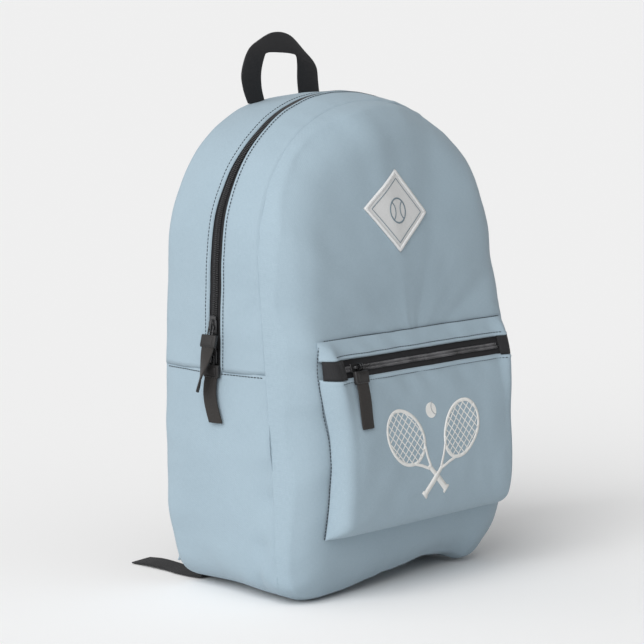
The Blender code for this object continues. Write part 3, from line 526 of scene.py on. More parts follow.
BLUE_CLOTH = woven_look("pale_blue_canvas", (0.255, 0.333, 0.388), (0.335, 0.427, 0.490), 0.0015)
LINING_CLOTH = woven_look("grey_lining", (0.10, 0.11, 0.12), (0.15, 0.16, 0.175), 0.0009)
BLACK_WEBBING = woven_look("black_ribbed_webbing", (0.006, 0.006, 0.007), (0.022, 0.022, 0.024), 0.0026,
                           0.72, 0.06, 0.0003, ribs=True)
CHARCOAL_TAPE = woven_look("charcoal_pull_webbing", (0.007, 0.0065, 0.0062), (0.034, 0.030, 0.028), 0.0022,
                           0.70, 0.08, 0.00025, ribs=True)
ZIP_TAPE = woven_look("zip_tape", (0.006, 0.006, 0.007), (0.018, 0.018, 0.020), 0.0012, 0.75, 0.04)
PAD_MESH = woven_look("padded_mesh", (0.010, 0.010, 0.011), (0.045, 0.046, 0.050), 0.0034, 0.85, 0.12, 0.0005)
BADGE_CLOTH = woven_look("badge_cloth", (0.50, 0.51, 0.51), (0.66, 0.66, 0.66), 0.0009, 0.85, 0.05)
BADGE_EDGE = woven_look("badge_edge", (0.62, 0.63, 0.63), (0.76, 0.76, 0.76), 0.0009, 0.85, 0.05)
BADGE_LINE = woven_look("badge_line", (0.14, 0.19, 0.22), (0.20, 0.26, 0.30), 0.0009, 0.85, 0.05)
PRINT_WHITE = woven_look("white_print", (0.66, 0.66, 0.64), (0.78, 0.78, 0.76), 0.0011, 0.8, 0.05)
PRINT_GREY = woven_look("grey_print", (0.34, 0.36, 0.38), (0.42, 0.44, 0.46), 0.0011, 0.8, 0.05)
DARK_THREAD = woven_look("dark_thread", (0.012, 0.018, 0.026), (0.035, 0.045, 0.058), 0.0006, 0.7, 0.1)
COIL_PLASTIC = moulded_look("coil_plastic", (0.030, 0.030, 0.032), 0.32)
BLACK_ENAMEL = moulded_look("black_enamel", (0.020, 0.020, 0.021), 0.24, 0.6)
BLACK_RUBBER = moulded_look("moulded_rubber", (0.014, 0.013, 0.013), 0.55)
BUCKLE_PLASTIC = moulded_look("buckle_plastic", (0.016, 0.016, 0.017), 0.38)


# ------------------------------------------------------------------ stitching
def stitch_row(name, place_at, length, body, slot="shell_cloth", pitch=0.0031, thread=0.00044,
               blended=False, look=None):
    """A row of separate thread stitches along place_at(distance), which gives a point and a normal."""
    places = []
    count = max(1, int(length / pitch))
    for k in range(count):
        middle, outward = place_at((k + 0.5) * pitch)
        ahead = place_at((k + 0.5) * pitch + pitch * 0.25)[0] - place_at((k + 0.5) * pitch - pitch * 0.25)[0]
        ahead.normalize()
        side = outward.cross(ahead).normalized()
        up = ahead.cross(side)
        turn = Matrix((ahead, side, up)).transposed().to_4x4()
        size = Matrix.Diagonal((pitch * 0.44, thread, thread * 0.8, 1))
        seat = Matrix.Translation(middle + outward * thread * 0.9)
        places.append(seat @ turn @ size @ Matrix.Rotation(math.pi / 2, 4, "Y"))
    bm = beads(places, 6, 4)
    obj = piece(name, bm, look or DARK_THREAD, slot, None if blended else body)
    if blended:
        across_fold(obj)
    return obj


def beads(places, around, rings):
    """Many small rounded shapes in one mesh, gathered a few at a time."""
    bm = bmesh.new()
    for start in range(0, len(places), 24):
        part = bmesh.new()
        for matrix in places[start:start + 24]:
            bmesh.ops.create_uvsphere(part, u_segments=around, v_segments=rings, radius=1.0, matrix=matrix)
        gather(bm, part)
    return bm


def gather(bm, part):
    """Adds one bmesh to another and frees it."""
    mesh = bpy.data.meshes.new("gathered")
    part.to_mesh(mesh)
    part.free()
    bm.from_mesh(mesh)
    bpy.data.meshes.remove(mesh)


def across_fold(obj):
    """Cloth that runs over the line where the front folds forward: its placement is only baked into its mesh."""
    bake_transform(obj)
    return obj


def strip_stitch(y, start, lift=0.0):
    """Places stitches round the side strip at a fixed or varying y."""

    def place_at(distance):
        at = start + distance
        z = rim(at)[1]
        here = y(z) if callable(y) else y
        point, _, _, outward = face_frame(strip_point_at(lift), at, here)
        return point, outward

    return place_at


def strip_point_at(lift):
    return lambda distance, y: strip_point(distance, y, lift)


# ------------------------------------------------------------------ body of the bag
def strip_sheet(name, start, end, y_from, y_to, fold_low=False, fold_high=False, **finish):
    """A length of the side strip. A folded edge swells before its stitches and rolls under."""
    columns = round((end - start) / 0.0042)
    rows = 22

    def spread(v):
        return 0.5 - 0.5 * math.cos(math.pi * v)

    def point(u, v):
        distance = start + (end - start) * u
        z = rim(distance)[1]
        low = y_from(z) if callable(y_from) else y_from
        high = y_to(z) if callable(y_to) else y_to
        y = low + (high - low) * spread(v)
        lift = 0.0
        for folded, inward in ((fold_low, y - low), (fold_high, high - y)):
            if folded:
                lift += 0.0007 * math.exp(-(((inward - 0.0019) / 0.0012) ** 2))
                lift -= 0.0012 * math.exp(-((inward / 0.0007) ** 2))
                lift -= 0.0004 * math.exp(-(((inward - STITCH_INSET) / 0.0007) ** 2))
        return strip_point(distance, y, lift)

    width = abs((y_to(0.2) if callable(y_to) else y_to) - (y_from(0.2) if callable(y_from) else y_from))
    bm = turn_out(mapped_grid(columns, rows, point, (end - start, width)))
    return piece(name, bm, BLUE_CLOTH, "shell_cloth", wall=0.0012, **finish)


def make_side_strips():
    back = BACK_Y + BACK_ROLL * 0.65
    strip_sheet("lower_gusset", -ARCH_START, ARCH_START, front_y, back, body="shell",
                stands_for=("base_gusset",))
    strip_sheet("rear_arch_gusset", ARCH_START, ARCH_END, behind_zip, back, fold_low=True,
                body="shell", stands_for=("rear_strip",))
    front = strip_sheet("front_arch_gusset", ARCH_START, ARCH_END, front_y, before_zip,
                        fold_high=True,
                        stands_for=("front_strip_left", "front_strip_right", "front_strip_top"))
    across_fold(front)
    length = ARCH_END - ARCH_START
    stitch_row("rear_zip_stitching", strip_stitch(lambda z: behind_zip(z) + STITCH_INSET, ARCH_START),
               length, "shell")
    stitch_row("front_zip_stitching", strip_stitch(lambda z: before_zip(z) - STITCH_INSET, ARCH_START),
               length, None, blended=True)
    for label, side in (("left", -1), ("right", 1)):
        at = side * (ARCH_START - 0.0022)

        def place_at(distance, at=at):
            y = front_y(ZIP_END_Z) + 0.003 + distance
            point, _, _, outward = face_frame(strip_point_at(0), at, y)
            return point, outward

        stitch_row(f"{label}_side_seam_stitching", place_at, BACK_Y - front_y(ZIP_END_Z) - 0.004, "shell")


PANEL_RINGS = 58
PANEL_MIDDLE_Z = 0.200


def panel_disc(face_y, rings=PANEL_RINGS, spokes=260, edge_power=1.9, outer=1.0):
    """The whole outline as a sheet of rings round its middle, finer towards the seam."""

    def point(u, v):
        scale = outer * (1 - u**edge_power)
        x, z, _, _ = rim(v * 2 * HALF_LENGTH)
        x, z = x * scale, PANEL_MIDDLE_Z + (z - PANEL_MIDDLE_Z) * scale
        return slump((x, face_y(x, z), z))

    bm = mapped_grid(rings, spokes, point, merge=True)
    return flat_weave(bm)


def make_front_panel():
    bm = turn_out(panel_disc(panel_y))
    front = piece("front_panel", bm, BLUE_CLOTH, "shell_cloth", wall=0.0012,
                  stands_for=("front_panel_lower", "front_panel_upper"))
    across_fold(front)


def pocket_sheet(name, z_from, z_to, columns, rows, roll, stands_for):
    def point(u, v):
        z = z_from + (z_to - z_from) * (1 - math.cos(math.pi / 2 * v))
        x = pocket_half(z) * math.sin(math.pi * (u - 0.5))
        y = pocket_y(x, z)
        inward = abs(z - roll)
        y -= 0.0010 * math.exp(-(((inward - 0.0022) / 0.0016) ** 2))
        y += 0.0014 * math.exp(-((inward / 0.0008) ** 2))
        y += 0.0005 * math.exp(-(((inward - STITCH_INSET) / 0.0009) ** 2))
        return slump((x, y, z))

    bm = flat_weave(turn_out(mapped_grid(columns, rows, point), (0, 0.1, (z_from + z_to) / 2)))
    return piece(name, bm, BLUE_CLOTH, "shell_cloth", "shell", stands_for, wall=0.0012)


def pocket_edge(distance):
    """A walk round the pocket's seam: up the left side, over the top and down the right."""
    side, r = POCKET_HALF_WIDTH + 0.0006, 0.010
    top = POCKET_TOP + 0.0004
    rise = top - r - POCKET_BOTTOM
    arc = math.pi / 2 * r
    side += pocket_half(top) - POCKET_HALF_WIDTH
    flat = 2 * (side - r)
    if distance < rise:
        z = POCKET_BOTTOM + distance
        return -side - pocket_half(z) + pocket_half(top), z
    distance -= rise
    if distance < arc:
        a = distance / r
        return -side + r - r * math.cos(a), top - r + r * math.sin(a)
    distance -= arc
    if distance < flat:
        return -side + r + distance, top
    distance -= flat
    if distance < arc:
        a = distance / r
        return side - r + r * math.sin(a), top - r + r * math.cos(a)
    z = top - r - (distance - arc)
    return side + pocket_half(z) - pocket_half(top), z


def make_pocket():
    opening = POCKET_ZIP_HALF
    pocket_sheet("pocket_front", POCKET_BOTTOM, POCKET_ZIP_Z - opening, 110, 90, POCKET_ZIP_Z - opening,
                 ("pocket_panel",))
    pocket_sheet("pocket_top_band", POCKET_TOP, POCKET_ZIP_Z + opening, 110, 20, POCKET_ZIP_Z + opening,
                 ("pocket_top_strip",))
    side, r = POCKET_HALF_WIDTH, 0.010
    length = 2 * (POCKET_TOP - r - POCKET_BOTTOM) + math.pi * r + 2 * (pocket_half(POCKET_TOP) - r)

    def round_edge(distance):
        x, z = pocket_edge(distance)
        return panel_point(x, z) + Vector((0, -0.0012, 0)), Vector((0, -1, 0))

    stitch_row("pocket_seam_stitching", round_edge, length, "shell")
    for label, sign in (("upper", 1), ("lower", -1)):
        z = POCKET_ZIP_Z + sign * (opening + STITCH_INSET)

        def along_zip(distance, z=z):
            point, _, _, outward = face_frame(pocket_point, -side + 0.004 + distance, z)
            return point, outward

        stitch_row(f"pocket_zip_{label}_stitching", along_zip, 2 * side - 0.008, "shell")


# ------------------------------------------------------------------ zips
def teeth(name, offset, side_at, length, pitch, reach, body=None, stands_for=()):
    """Coil teeth: beads that reach across from one half of the zip."""
    places = []
    for k in range(int(length / pitch)):
        middle, ahead, across, outward = side_at((k + 0.5) * pitch)
        turn = Matrix((ahead, across, outward)).transposed().to_4x4()
        size = Matrix.Diagonal((pitch * 0.34, reach / 2, 0.0009, 1))
        places.append(Matrix.Translation(middle + across * offset) @ turn @ size)
    return piece(name, beads(places, 8, 4), COIL_PLASTIC, "zip_coil", body, stands_for)


def make_main_zip():
    length = ARCH_END - ARCH_START
    pitch = 0.0016

    def tape(name, low, high, stands_for, body):
        def point(u, v):
            return strip_point(ARCH_START + length * u, low + (high - low) * v, -CLOTH - 0.0004)

        bm = turn_out(mapped_grid(round(length / 0.006), 4, point, (length, high - low)))
        return piece(name, bm, ZIP_TAPE, "zip_tape", body, stands_for, wall=0.0006)

    near, far = 0.0002, 0.0125
    tape("rear_zip_tape", ZIP_Y + near, ZIP_Y + far, ("main_zip_tape_rear",), "shell")
    front = tape("front_zip_tape", ZIP_Y - far, ZIP_Y - near,
                 ("main_zip_tape_front_left", "main_zip_tape_front_right", "main_zip_tape_front_top"), None)
    across_fold(front)

    def along(distance):
        return face_frame(strip_point_at(-0.0010), ARCH_START + distance, ZIP_Y, 0.002)

    def front_along(distance):
        middle, ahead, across, outward = along(distance + pitch / 2)
        return middle, ahead, across, outward

    teeth("rear_zip_coil", 0.0013, along, length, pitch, 0.0034, "shell", ("main_zip_coil_rear",))
    coil = teeth("front_zip_coil", -0.0013, front_along, length, pitch, 0.0034, None,
                 ("main_zip_coil_front_left", "main_zip_coil_front_right", "main_zip_coil_front_top"))
    across_fold(coil)


def make_pocket_zip():
    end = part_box("pocket_zip_tape_upper")[1][0]
    left_tab, right_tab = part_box("pocket_zip_tab_left"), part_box("pocket_zip_tab_right")

    def sheet(name, look, slot, x_from, x_to, z_from, z_to, depth, stands_for, wall=0.0006, columns=60):
        def point(u, v):
            x, z = x_from + (x_to - x_from) * u, z_from + (z_to - z_from) * v
            point, _, _, outward = face_frame(pocket_point, x, z)
            return point - outward * depth

        bm = turn_out(mapped_grid(columns, 6, point, (x_to - x_from, z_to - z_from)), (0, 0.1, z_from))
        return piece(name, bm, look, slot, "shell", stands_for, wall=wall)

    near, far = 0.0002, 0.0115
    half, tab_end = pocket_half(POCKET_ZIP_Z) - 0.0010, left_tab[1][0] - 0.0050
    sheet("pocket_zip_upper_tape", ZIP_TAPE, "zip_tape", -end, end, POCKET_ZIP_Z + near,
          POCKET_ZIP_Z + far, CLOTH + 0.0004, ("pocket_zip_tape_upper",))
    sheet("pocket_zip_lower_tape", ZIP_TAPE, "zip_tape", -end, end, POCKET_ZIP_Z - far,
          POCKET_ZIP_Z - near, CLOTH + 0.0004, ("pocket_zip_tape_lower",))
    tab = POCKET_ZIP_HALF + 0.0006
    sheet("pocket_zip_left_tab", BLACK_WEBBING, "zip_tape", -half, tab_end,
          POCKET_ZIP_Z - tab, POCKET_ZIP_Z + tab, -0.0002, ("pocket_zip_tab_left",), 0.0012, 14)
    sheet("pocket_zip_right_tab", BLACK_WEBBING, "zip_tape", right_tab[0][0] + 0.006, half,
          POCKET_ZIP_Z - tab, POCKET_ZIP_Z + tab, -0.0002, ("pocket_zip_tab_right",), 0.0012, 14)
    length = right_tab[0][0] + 0.006 - tab_end
    pitch = 0.0016
    for label, sign in (("upper", 1), ("lower", -1)):

        def along(distance, sign=sign):
            x = tab_end + distance + (pitch / 2 if sign < 0 else 0)
            point, ahead, across, outward = face_frame(pocket_point, x, POCKET_ZIP_Z, 0.002)
            return point - outward * 0.0010, ahead, across, outward

        teeth(f"pocket_zip_{label}_coil", sign * 0.0013, along, length - pitch, pitch, 0.0034, "shell",
              (f"pocket_zip_coil_{label}",))


# ------------------------------------------------------------------ small hard parts
def rounded_box(bm, matrix, low, high, radius, segments=3):
    """Adds a box with rounded edges, placed by matrix."""
    size = [b - a for a, b in zip(low, high)]
    centre = [(a + b) / 2 for a, b in zip(low, high)]
    made = bmesh.ops.create_cube(bm, size=1.0, matrix=Matrix.Translation(centre) @ Matrix.Diagonal((*size, 1)))
    edges = list({edge for vert in made["verts"] for edge in vert.link_edges})
    rounded = bmesh.ops.bevel(bm, geom=edges, offset=radius, segments=segments, profile=0.5,
                              affect="EDGES", material=-1, clamp_overlap=True)
    verts = {v for f in rounded["faces"] for v in f.verts} | {v for v in made["verts"] if v.is_valid}
    bmesh.ops.transform(bm, matrix=matrix, verts=list(verts))


def tube_ring(bm, matrix, path, radius, sides=10):
    """Adds a closed wire that follows path, a closed list of points."""
    loops = []
    count = len(path)
    for i, here in enumerate(path):
        ahead = (path[(i + 1) % count] - path[i - 1]).normalized()
        side = Vector((0, 0, 1)) if abs(ahead.z) < 0.9 else Vector((0, 1, 0))
        side = (side - ahead * side.dot(ahead)).normalized()
        turn = Matrix((side, ahead.cross(side), ahead)).transposed().to_4x4()
        made = bmesh.ops.create_circle(bm, cap_ends=False, segments=sides, radius=radius,
                                       matrix=matrix @ Matrix.Translation(here) @ turn)
        loops.append(list({e for v in made["verts"] for e in v.link_edges}))
    for i in range(count):
        bmesh.ops.bridge_loops(bm, edges=loops[i] + loops[(i + 1) % count])


def direction_frame(origin, first, second, third):
    matrix = Matrix((first, second, third)).transposed().to_4x4()
    matrix.translation = origin
    return matrix


def make_slider(node, name, matrix, body, height):
    """A die-cast slider: two shaped plates, a nose and an arched bridge. +X is its travel."""
    bm = bmesh.new()
    half = 0.0078
    rounded_box(bm, matrix, (-half, -0.0042, height), (half * 0.55, 0.0042, height + 0.0013), 0.0006)
    rounded_box(bm, matrix, (half * 0.1, -0.0034, height), (half, 0.0034, height + 0.0014), 0.0006)
    rounded_box(bm, matrix, (-half, -0.0042, -0.0042), (half, 0.0042, -0.0031), 0.0004)
    rounded_box(bm, matrix, (half * 0.25, -0.0006, -0.0036), (half * 0.8, 0.0006, height + 0.0006), 0.0003)
    rise = 0.0036
    arch = []
    for i in range(9):
        angle = math.pi * i / 8
        arch.append(Vector((-0.0047 * math.cos(angle), 0, height + 0.0008 + rise * math.sin(angle) ** 0.6)))
    for a, b in zip(arch, arch[1:]):
        ahead = (b - a).normalized()
        turn = direction_frame((a + b) / 2, ahead, Vector((0, 1, 0)), ahead.cross(Vector((0, 1, 0))))
        reach = (b - a).length / 2 + 0.0003
        rounded_box(bm, matrix @ turn, (-reach, -0.0013, -0.0006), (reach, 0.0013, 0.0006), 0.0003, 2)
    return piece(name, bm, BLACK_ENAMEL, "slider_metal", body, (node,), sharp=50)


def make_pull(prefix, matrix, body, sway, window_link, start):
    """A wire link, a moulded binder with a raised panel and a folded ribbed tape."""
    bm = bmesh.new()
    link_node = f"{prefix}_link" if window_link else f"{prefix}_ring"
    if window_link:
        half, far = 0.0026, start + 0.004
        path = []
        for cx, cy, turn in ((far - half, 0, 0), (half - 0.0002, 0, math.pi)):
            for i in range(9):
                a = turn - math.pi / 2 + math.pi * i / 8
                path.append(Vector((cx + half * math.cos(a), cy + half * math.sin(a), 0)))
        tube_ring(bm, matrix, path, 0.00065)
    else:
        path = [Vector((0.0026 * math.cos(a), 0, 0.0026 * math.sin(a)))
                for a in (2 * math.pi * i / 20 for i in range(20))]
        for shift in (-0.0013, 0.0013):
            tube_ring(bm, matrix @ Matrix.Translation((0, shift, 0)), path, 0.0006)
    piece(f"{prefix}_wire", bm, BLACK_ENAMEL, "slider_metal", body, (link_node,))
    bm = bmesh.new()
    length, half = 0.0110, 0.0084
    rounded_box(bm, matrix, (start, -half, -0.0019), (start + length, half, 0.0019), 0.0010, 4)
    rounded_box(bm, matrix, (start + 0.0020, -half * 0.62, 0.0014), (start + length - 0.0022, half * 0.62, 0.0023),
                0.0004)
    for k in range(2):
        edge = start + length - 0.0014 - 0.0011 * k
        rounded_box(bm, matrix, (edge, -half * 0.9, -0.0022), (edge + 0.0006, half * 0.9, 0.0022), 0.00025, 2)
    piece(f"{prefix}_moulded_binder", bm, BLACK_RUBBER, "pull_binder", body, (f"{prefix}_binder",), sharp=60)
    tape_from, reach = start + length - 0.0030, 0.0420
    half = 0.00715

    def point(u, v):
        lengthwise = tape_from + reach * u
        bend, twist, shift = sway(u)
        across = half * (2 * v - 1)
        arc = 0.0006 * (1 - (2 * v - 1) ** 2)
        local = Vector((lengthwise, shift + across * math.cos(twist), bend + arc + across * math.sin(twist)))
        return matrix @ local

    bm = mapped_grid(30, 8, point, (reach, 2 * half))
    piece(f"{prefix}_ribbed_tape", bm, CHARCOAL_TAPE, "webbing", body, (f"{prefix}_tape",), wall=0.0017,
          offset=0.0, levels=1)


def joint_place(name):
    for joint in frame["record"]["behaviour"]["joints"]:
        if joint["name"] == name:
            return Vector(joint["pos_m"])
    return None


def make_sliders():
    up, down, left = Vector((0, 0, 1)), Vector((0, 0, -1)), Vector((-1, 0, 0))
    front, back, right = Vector((0, -1, 0)), Vector((0, 1, 0)), Vector((1, 0, 0))
    top_plate = 0.0010
    for label, tilt, sway in (
        ("upper", math.radians(14), lambda u: (-0.0010 * u, -0.9 * smooth_step(u * 1.1), 0.0045 * u**1.4)),
        ("lower", 0.0, lambda u: (0.0012 * math.sin(3 * u), 0.16 * u, 0.0018 * math.sin(4 * u) - 0.0035 * u * u)),
    ):
        node = f"main_{label}_slider"
        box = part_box(node)
        hinge = joint_place(f"{label}_pull_swing")
        surface = hinge.x + 0.0035
        base = Vector((surface, ZIP_Y, (box[0][2] + box[1][2]) / 2))
        make_slider(node, f"{label}_zip_slider", direction_frame(base, up, back, left), f"{label}_slider",
                    top_plate)
        lean = Matrix.Rotation(tilt, 3, "Y")
        make_pull(f"main_{label}_pull", direction_frame(hinge, lean @ down, back, lean @ left),
                  f"{label}_pull", sway, True, 0.0084)
    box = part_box("pocket_slider")
    hinge = joint_place("pocket_pull_swing")
    x = (box[0][0] + box[1][0]) / 2
    base, _, slope, outward = face_frame(pocket_point, x, POCKET_ZIP_Z, 0.004)
    base = hinge - outward * 0.0056
    make_slider("pocket_slider", "pocket_zip_slider", direction_frame(base, right, slope, outward),
                "pocket_slider", top_plate)
    lean = Matrix.Rotation(math.radians(-11), 3, "X")
    make_pull("pocket_pull", direction_frame(hinge, lean @ down, right, lean @ front), "pocket_pull",
              lambda u: (0.0006 * math.sin(5 * u), 0.05 * math.sin(3 * u), 0.0005 * u), False, 0.0036)


# ------------------------------------------------------------------ haul loop and back
def smooth_path(points, count):
    points = [Vector(p) for p in points]
    padded = [2 * points[0] - points[1], *points, 2 * points[-1] - points[-2]]
    path = []
    for k in range(count + 1):
        at = k / count * (len(points) - 1)
        i = min(int(at), len(points) - 2)
        t = at - i
        a, b, c, d = padded[i:i + 4]
        path.append(0.5 * (2 * b + (c - a) * t + (2 * a - 5 * b + 4 * c - d) * t**2
                           + (3 * b - a - 3 * c + d) * t**3))
    return path


def ribbon(name, outer, inner, look, slot, body, stands_for=(), wall=0.0014, steps=90, across=10, arch=0.0):
    """Webbing between two edge lines."""
    edge_a, edge_b = smooth_path(outer, steps), smooth_path(inner, steps)
    length = sum((b - a).length for a, b in zip(edge_a, edge_a[1:]))
    width = (edge_a[0] - edge_b[0]).length

    def point(u, v):
        k = round(u * steps)
        here = edge_a[k].lerp(edge_b[k], v)
        return here + Vector((0, arch * (1 - (2 * v - 1) ** 2), 0))

    bm = mapped_grid(steps, across, point, (length, width))
    return piece(name, bm, look, slot, body, stands_for, wall=wall, offset=0.0, levels=1)


def make_haul_loop():
    y, base = (LOOP[0][1] + LOOP[1][1]) / 2, LOOP[0][2] - 0.006
    top = LOOP[1][2]
    span = LOOP[1][0] * 0.97
    lean = Vector((-0.0040, 0, 0))
    outer = [(-span * 0.97, y + 0.001, base), (-span * 1.10, y + 0.001, base + 0.013),
             (-span * 1.17, y, base + 0.028), (-span * 1.02, y - 0.001, base + 0.047),
             (-span * 0.66, y + 0.001, top - 0.006), (-span * 0.22, y + 0.003, top),
             (span * 0.22, y + 0.003, top - 0.003), (span * 0.58, y + 0.001, top - 0.017),
             (span * 0.88, y - 0.001, top - 0.031), (span * 0.98, y, top - 0.047),
             (span * 1.05, y + 0.001, base)]
    inner = [(-span * 0.50, y + 0.001, base), (-span * 0.59, y + 0.001, base + 0.013),
             (-span * 0.65, y - 0.001, base + 0.027), (-span * 0.64, y - 0.004, base + 0.0395),
             (-span * 0.56, y - 0.005, base + 0.0445), (-span * 0.16, y - 0.006, base + 0.0440),
             (span * 0.12, y - 0.006, base + 0.0425), (span * 0.24, y - 0.005, base + 0.0405),
             (span * 0.31, y - 0.003, base + 0.033), (span * 0.38, y, base + 0.018),
             (span * 0.46, y + 0.001, base)]
    outer, inner = ([Vector(p) + lean for p in rail] for rail in (outer, inner))
    ribbon("haul_loop_webbing", outer, inner, BLACK_WEBBING, "webbing", "haul_loop", ("haul_loop",),
           wall=0.0018, arch=-0.0010)


def back_y(x, z):
    """The padded back: two long pads and a middle channel under a mesh cover."""
    inward = inside_distance(x, z)
    base = BACK_PANEL[1][1] - 0.003
    rounded = smooth_step(inward / 0.034)
    channel = math.exp(-((x / 0.010) ** 2)) + math.exp(-(((z - 0.215) / 0.006) ** 2)) * (abs(x) < 0.2)
    rung = sum(math.exp(-(((z - at) / 0.005) ** 2)) for at in (0.115, 0.315))
    depth = min(channel + 0.8 * rung, 1.0) * smooth_step((inward - 0.018) / 0.012)
    return base + 0.0042 * rounded - 0.0040 * depth - 0.0062 * (1 - rounded) + 0.0005 * wave(41, x * 30, z * 30)


def make_back():
    bm = turn_out(panel_disc(back_y, 60, 220, 1.5, outer=0.986))
    pad = piece("padded_back", bm, PAD_MESH, "back_padding", "shell", ("back_panel",), wall=0.004)


# ------------------------------------------------------------------ patch and prints
def surface_line(bm, points, width, surface, lift, closed=False):
    """Adds a flat line that lies on a surface, through a list of (x, z)."""
    if closed:
        points = points + points[:1]
    last = len(points) - 1
    sides = []
    for k in range(last + 1):
        before, after = points[max(k - 1, 0)], points[min(k + 1, last)]
        if closed and k in (0, last):
            before, after = points[last - 1], points[1]
        dx, dz = after[0] - before[0], after[1] - before[1]
        length = math.hypot(dx, dz) or 1.0
        sides.append((-dz / length, dx / length))
    widths = width if callable(width) else (lambda share: width)

    def point(u, v):
        k = round(u * last)
        half = widths(k / last) * (v - 0.5)
        x, z = points[k][0] + sides[k][0] * half, points[k][1] + sides[k][1] * half
        return surface(x, z) + Vector((0, -lift, 0))

    gather(bm, turn_out(mapped_grid(last, 2, point), (0, 0.2, points[0][1])))


def divided(points, step=0.0012):
    """The same path with points no further apart than step."""
    path = []
    for (ax, az), (bx, bz) in zip(points, points[1:]):
        count = max(1, math.ceil(math.hypot(bx - ax, bz - az) / step))
        path += [(ax + (bx - ax) * k / count, az + (bz - az) * k / count) for k in range(count)]
    return path + [points[-1]]


def oval(x, z, across, along, turn=0.0, start=0.0, end=2 * math.pi, count=64):
    """Points of an ellipse, or of an arc of it, whose long axis is turned from straight up."""
    points = []
    for k in range(count + (end - start < 6.28)):
        a = start + (end - start) * k / count
        right, up = across * math.sin(a), along * math.cos(a)
        points.append((x + right * math.cos(turn) + up * math.sin(turn),
                       z - right * math.sin(turn) + up * math.cos(turn)))
    return points


def print_piece(name, bm, look, body, wall=0.00012):
    return piece(name, flat_weave(bm), look, "patch", body, wall=wall, offset=-1.0)


def racket_print(bm, x, z, turn, lift):
    """A racket: oval frame, slanting strings, a forked throat, a shaft and a flared grip."""
    across, along = 0.0205, 0.0270
    down = (-math.sin(turn), -math.cos(turn))
    side = (math.cos(turn), -math.sin(turn))

    def at(right, below):
        return x + side[0] * right + down[0] * below, z + side[1] * right + down[1] * below

    surface_line(bm, oval(x, z, across, along, turn), 0.0031, pocket_point, lift, closed=True)
    for direction, steps in (((0.0, 1.0), range(-3, 4)), ((1.0, 0.0), range(-5, 5))):
        for k in steps:
            offset = k * 0.0056 + (0.0028 if direction[0] else 0.0)
            normal = (direction[1], -direction[0])
            px, pz = normal[0] * offset, normal[1] * offset
            a = (direction[0] / across) ** 2 + (direction[1] / along) ** 2
            b = 2 * (px * direction[0] / across**2 + pz * direction[1] / along**2)
            c = (px / across) ** 2 + (pz / along) ** 2 - 1
            inside = b * b - 4 * a * c
            if inside <= 0:
                continue
            ends = [(-b + s * math.sqrt(inside)) / (2 * a) for s in (-1, 1)]
            if ends[1] - ends[0] < 0.008:
                continue
            line = [at(px + direction[0] * t, -(pz + direction[1] * t)) for t in ends]
            surface_line(bm, divided(line, 0.002), 0.0010, pocket_point, lift)
    for right in (-1, 1):
        fork = [at(right * 0.0098, along * 0.90), at(right * 0.0052, along + 0.0055),
                at(right * 0.0012, along + 0.0150)]
        surface_line(bm, divided(fork), 0.0026, pocket_point, lift)
    shaft = [at(0, along + 0.0120), at(0, along + 0.0250)]
    surface_line(bm, divided(shaft), 0.0042, pocket_point, lift)
    grip = [at(0, along + 0.0240), at(0, along + 0.0475)]
    surface_line(bm, divided(grip), lambda share: 0.0058 if share < 0.86 else 0.0086, pocket_point, lift)


def make_prints():
    bm = bmesh.new()
    racket_print(bm, -0.0400, 0.1392, math.radians(-46), 0.0002)
    print_piece("left_racket_print", bm, PRINT_WHITE, "shell")
    bm = bmesh.new()
    racket_print(bm, 0.0345, 0.1392, math.radians(44), 0.0003)
    print_piece("right_racket_print", bm, PRINT_WHITE, "shell")
    bm = bmesh.new()
    x, z, r = -0.0030, 0.1590, 0.0066
    for k in range(6):
        surface_line(bm, oval(x, z, r * (k + 0.5) / 6, r * (k + 0.5) / 6), r / 5.6, pocket_point, 0.0002,
                     closed=True)
    print_piece("ball_print", bm, PRINT_WHITE, "shell")
    bm = bmesh.new()
    surface_line(bm, oval(x + r * 1.05, z + r * 0.35, r, r, start=math.pi * 1.08, end=math.pi * 1.78,
                          count=24), 0.0009, pocket_point, 0.0004)
    print_piece("ball_seam_print", bm, PRINT_GREY, "shell")


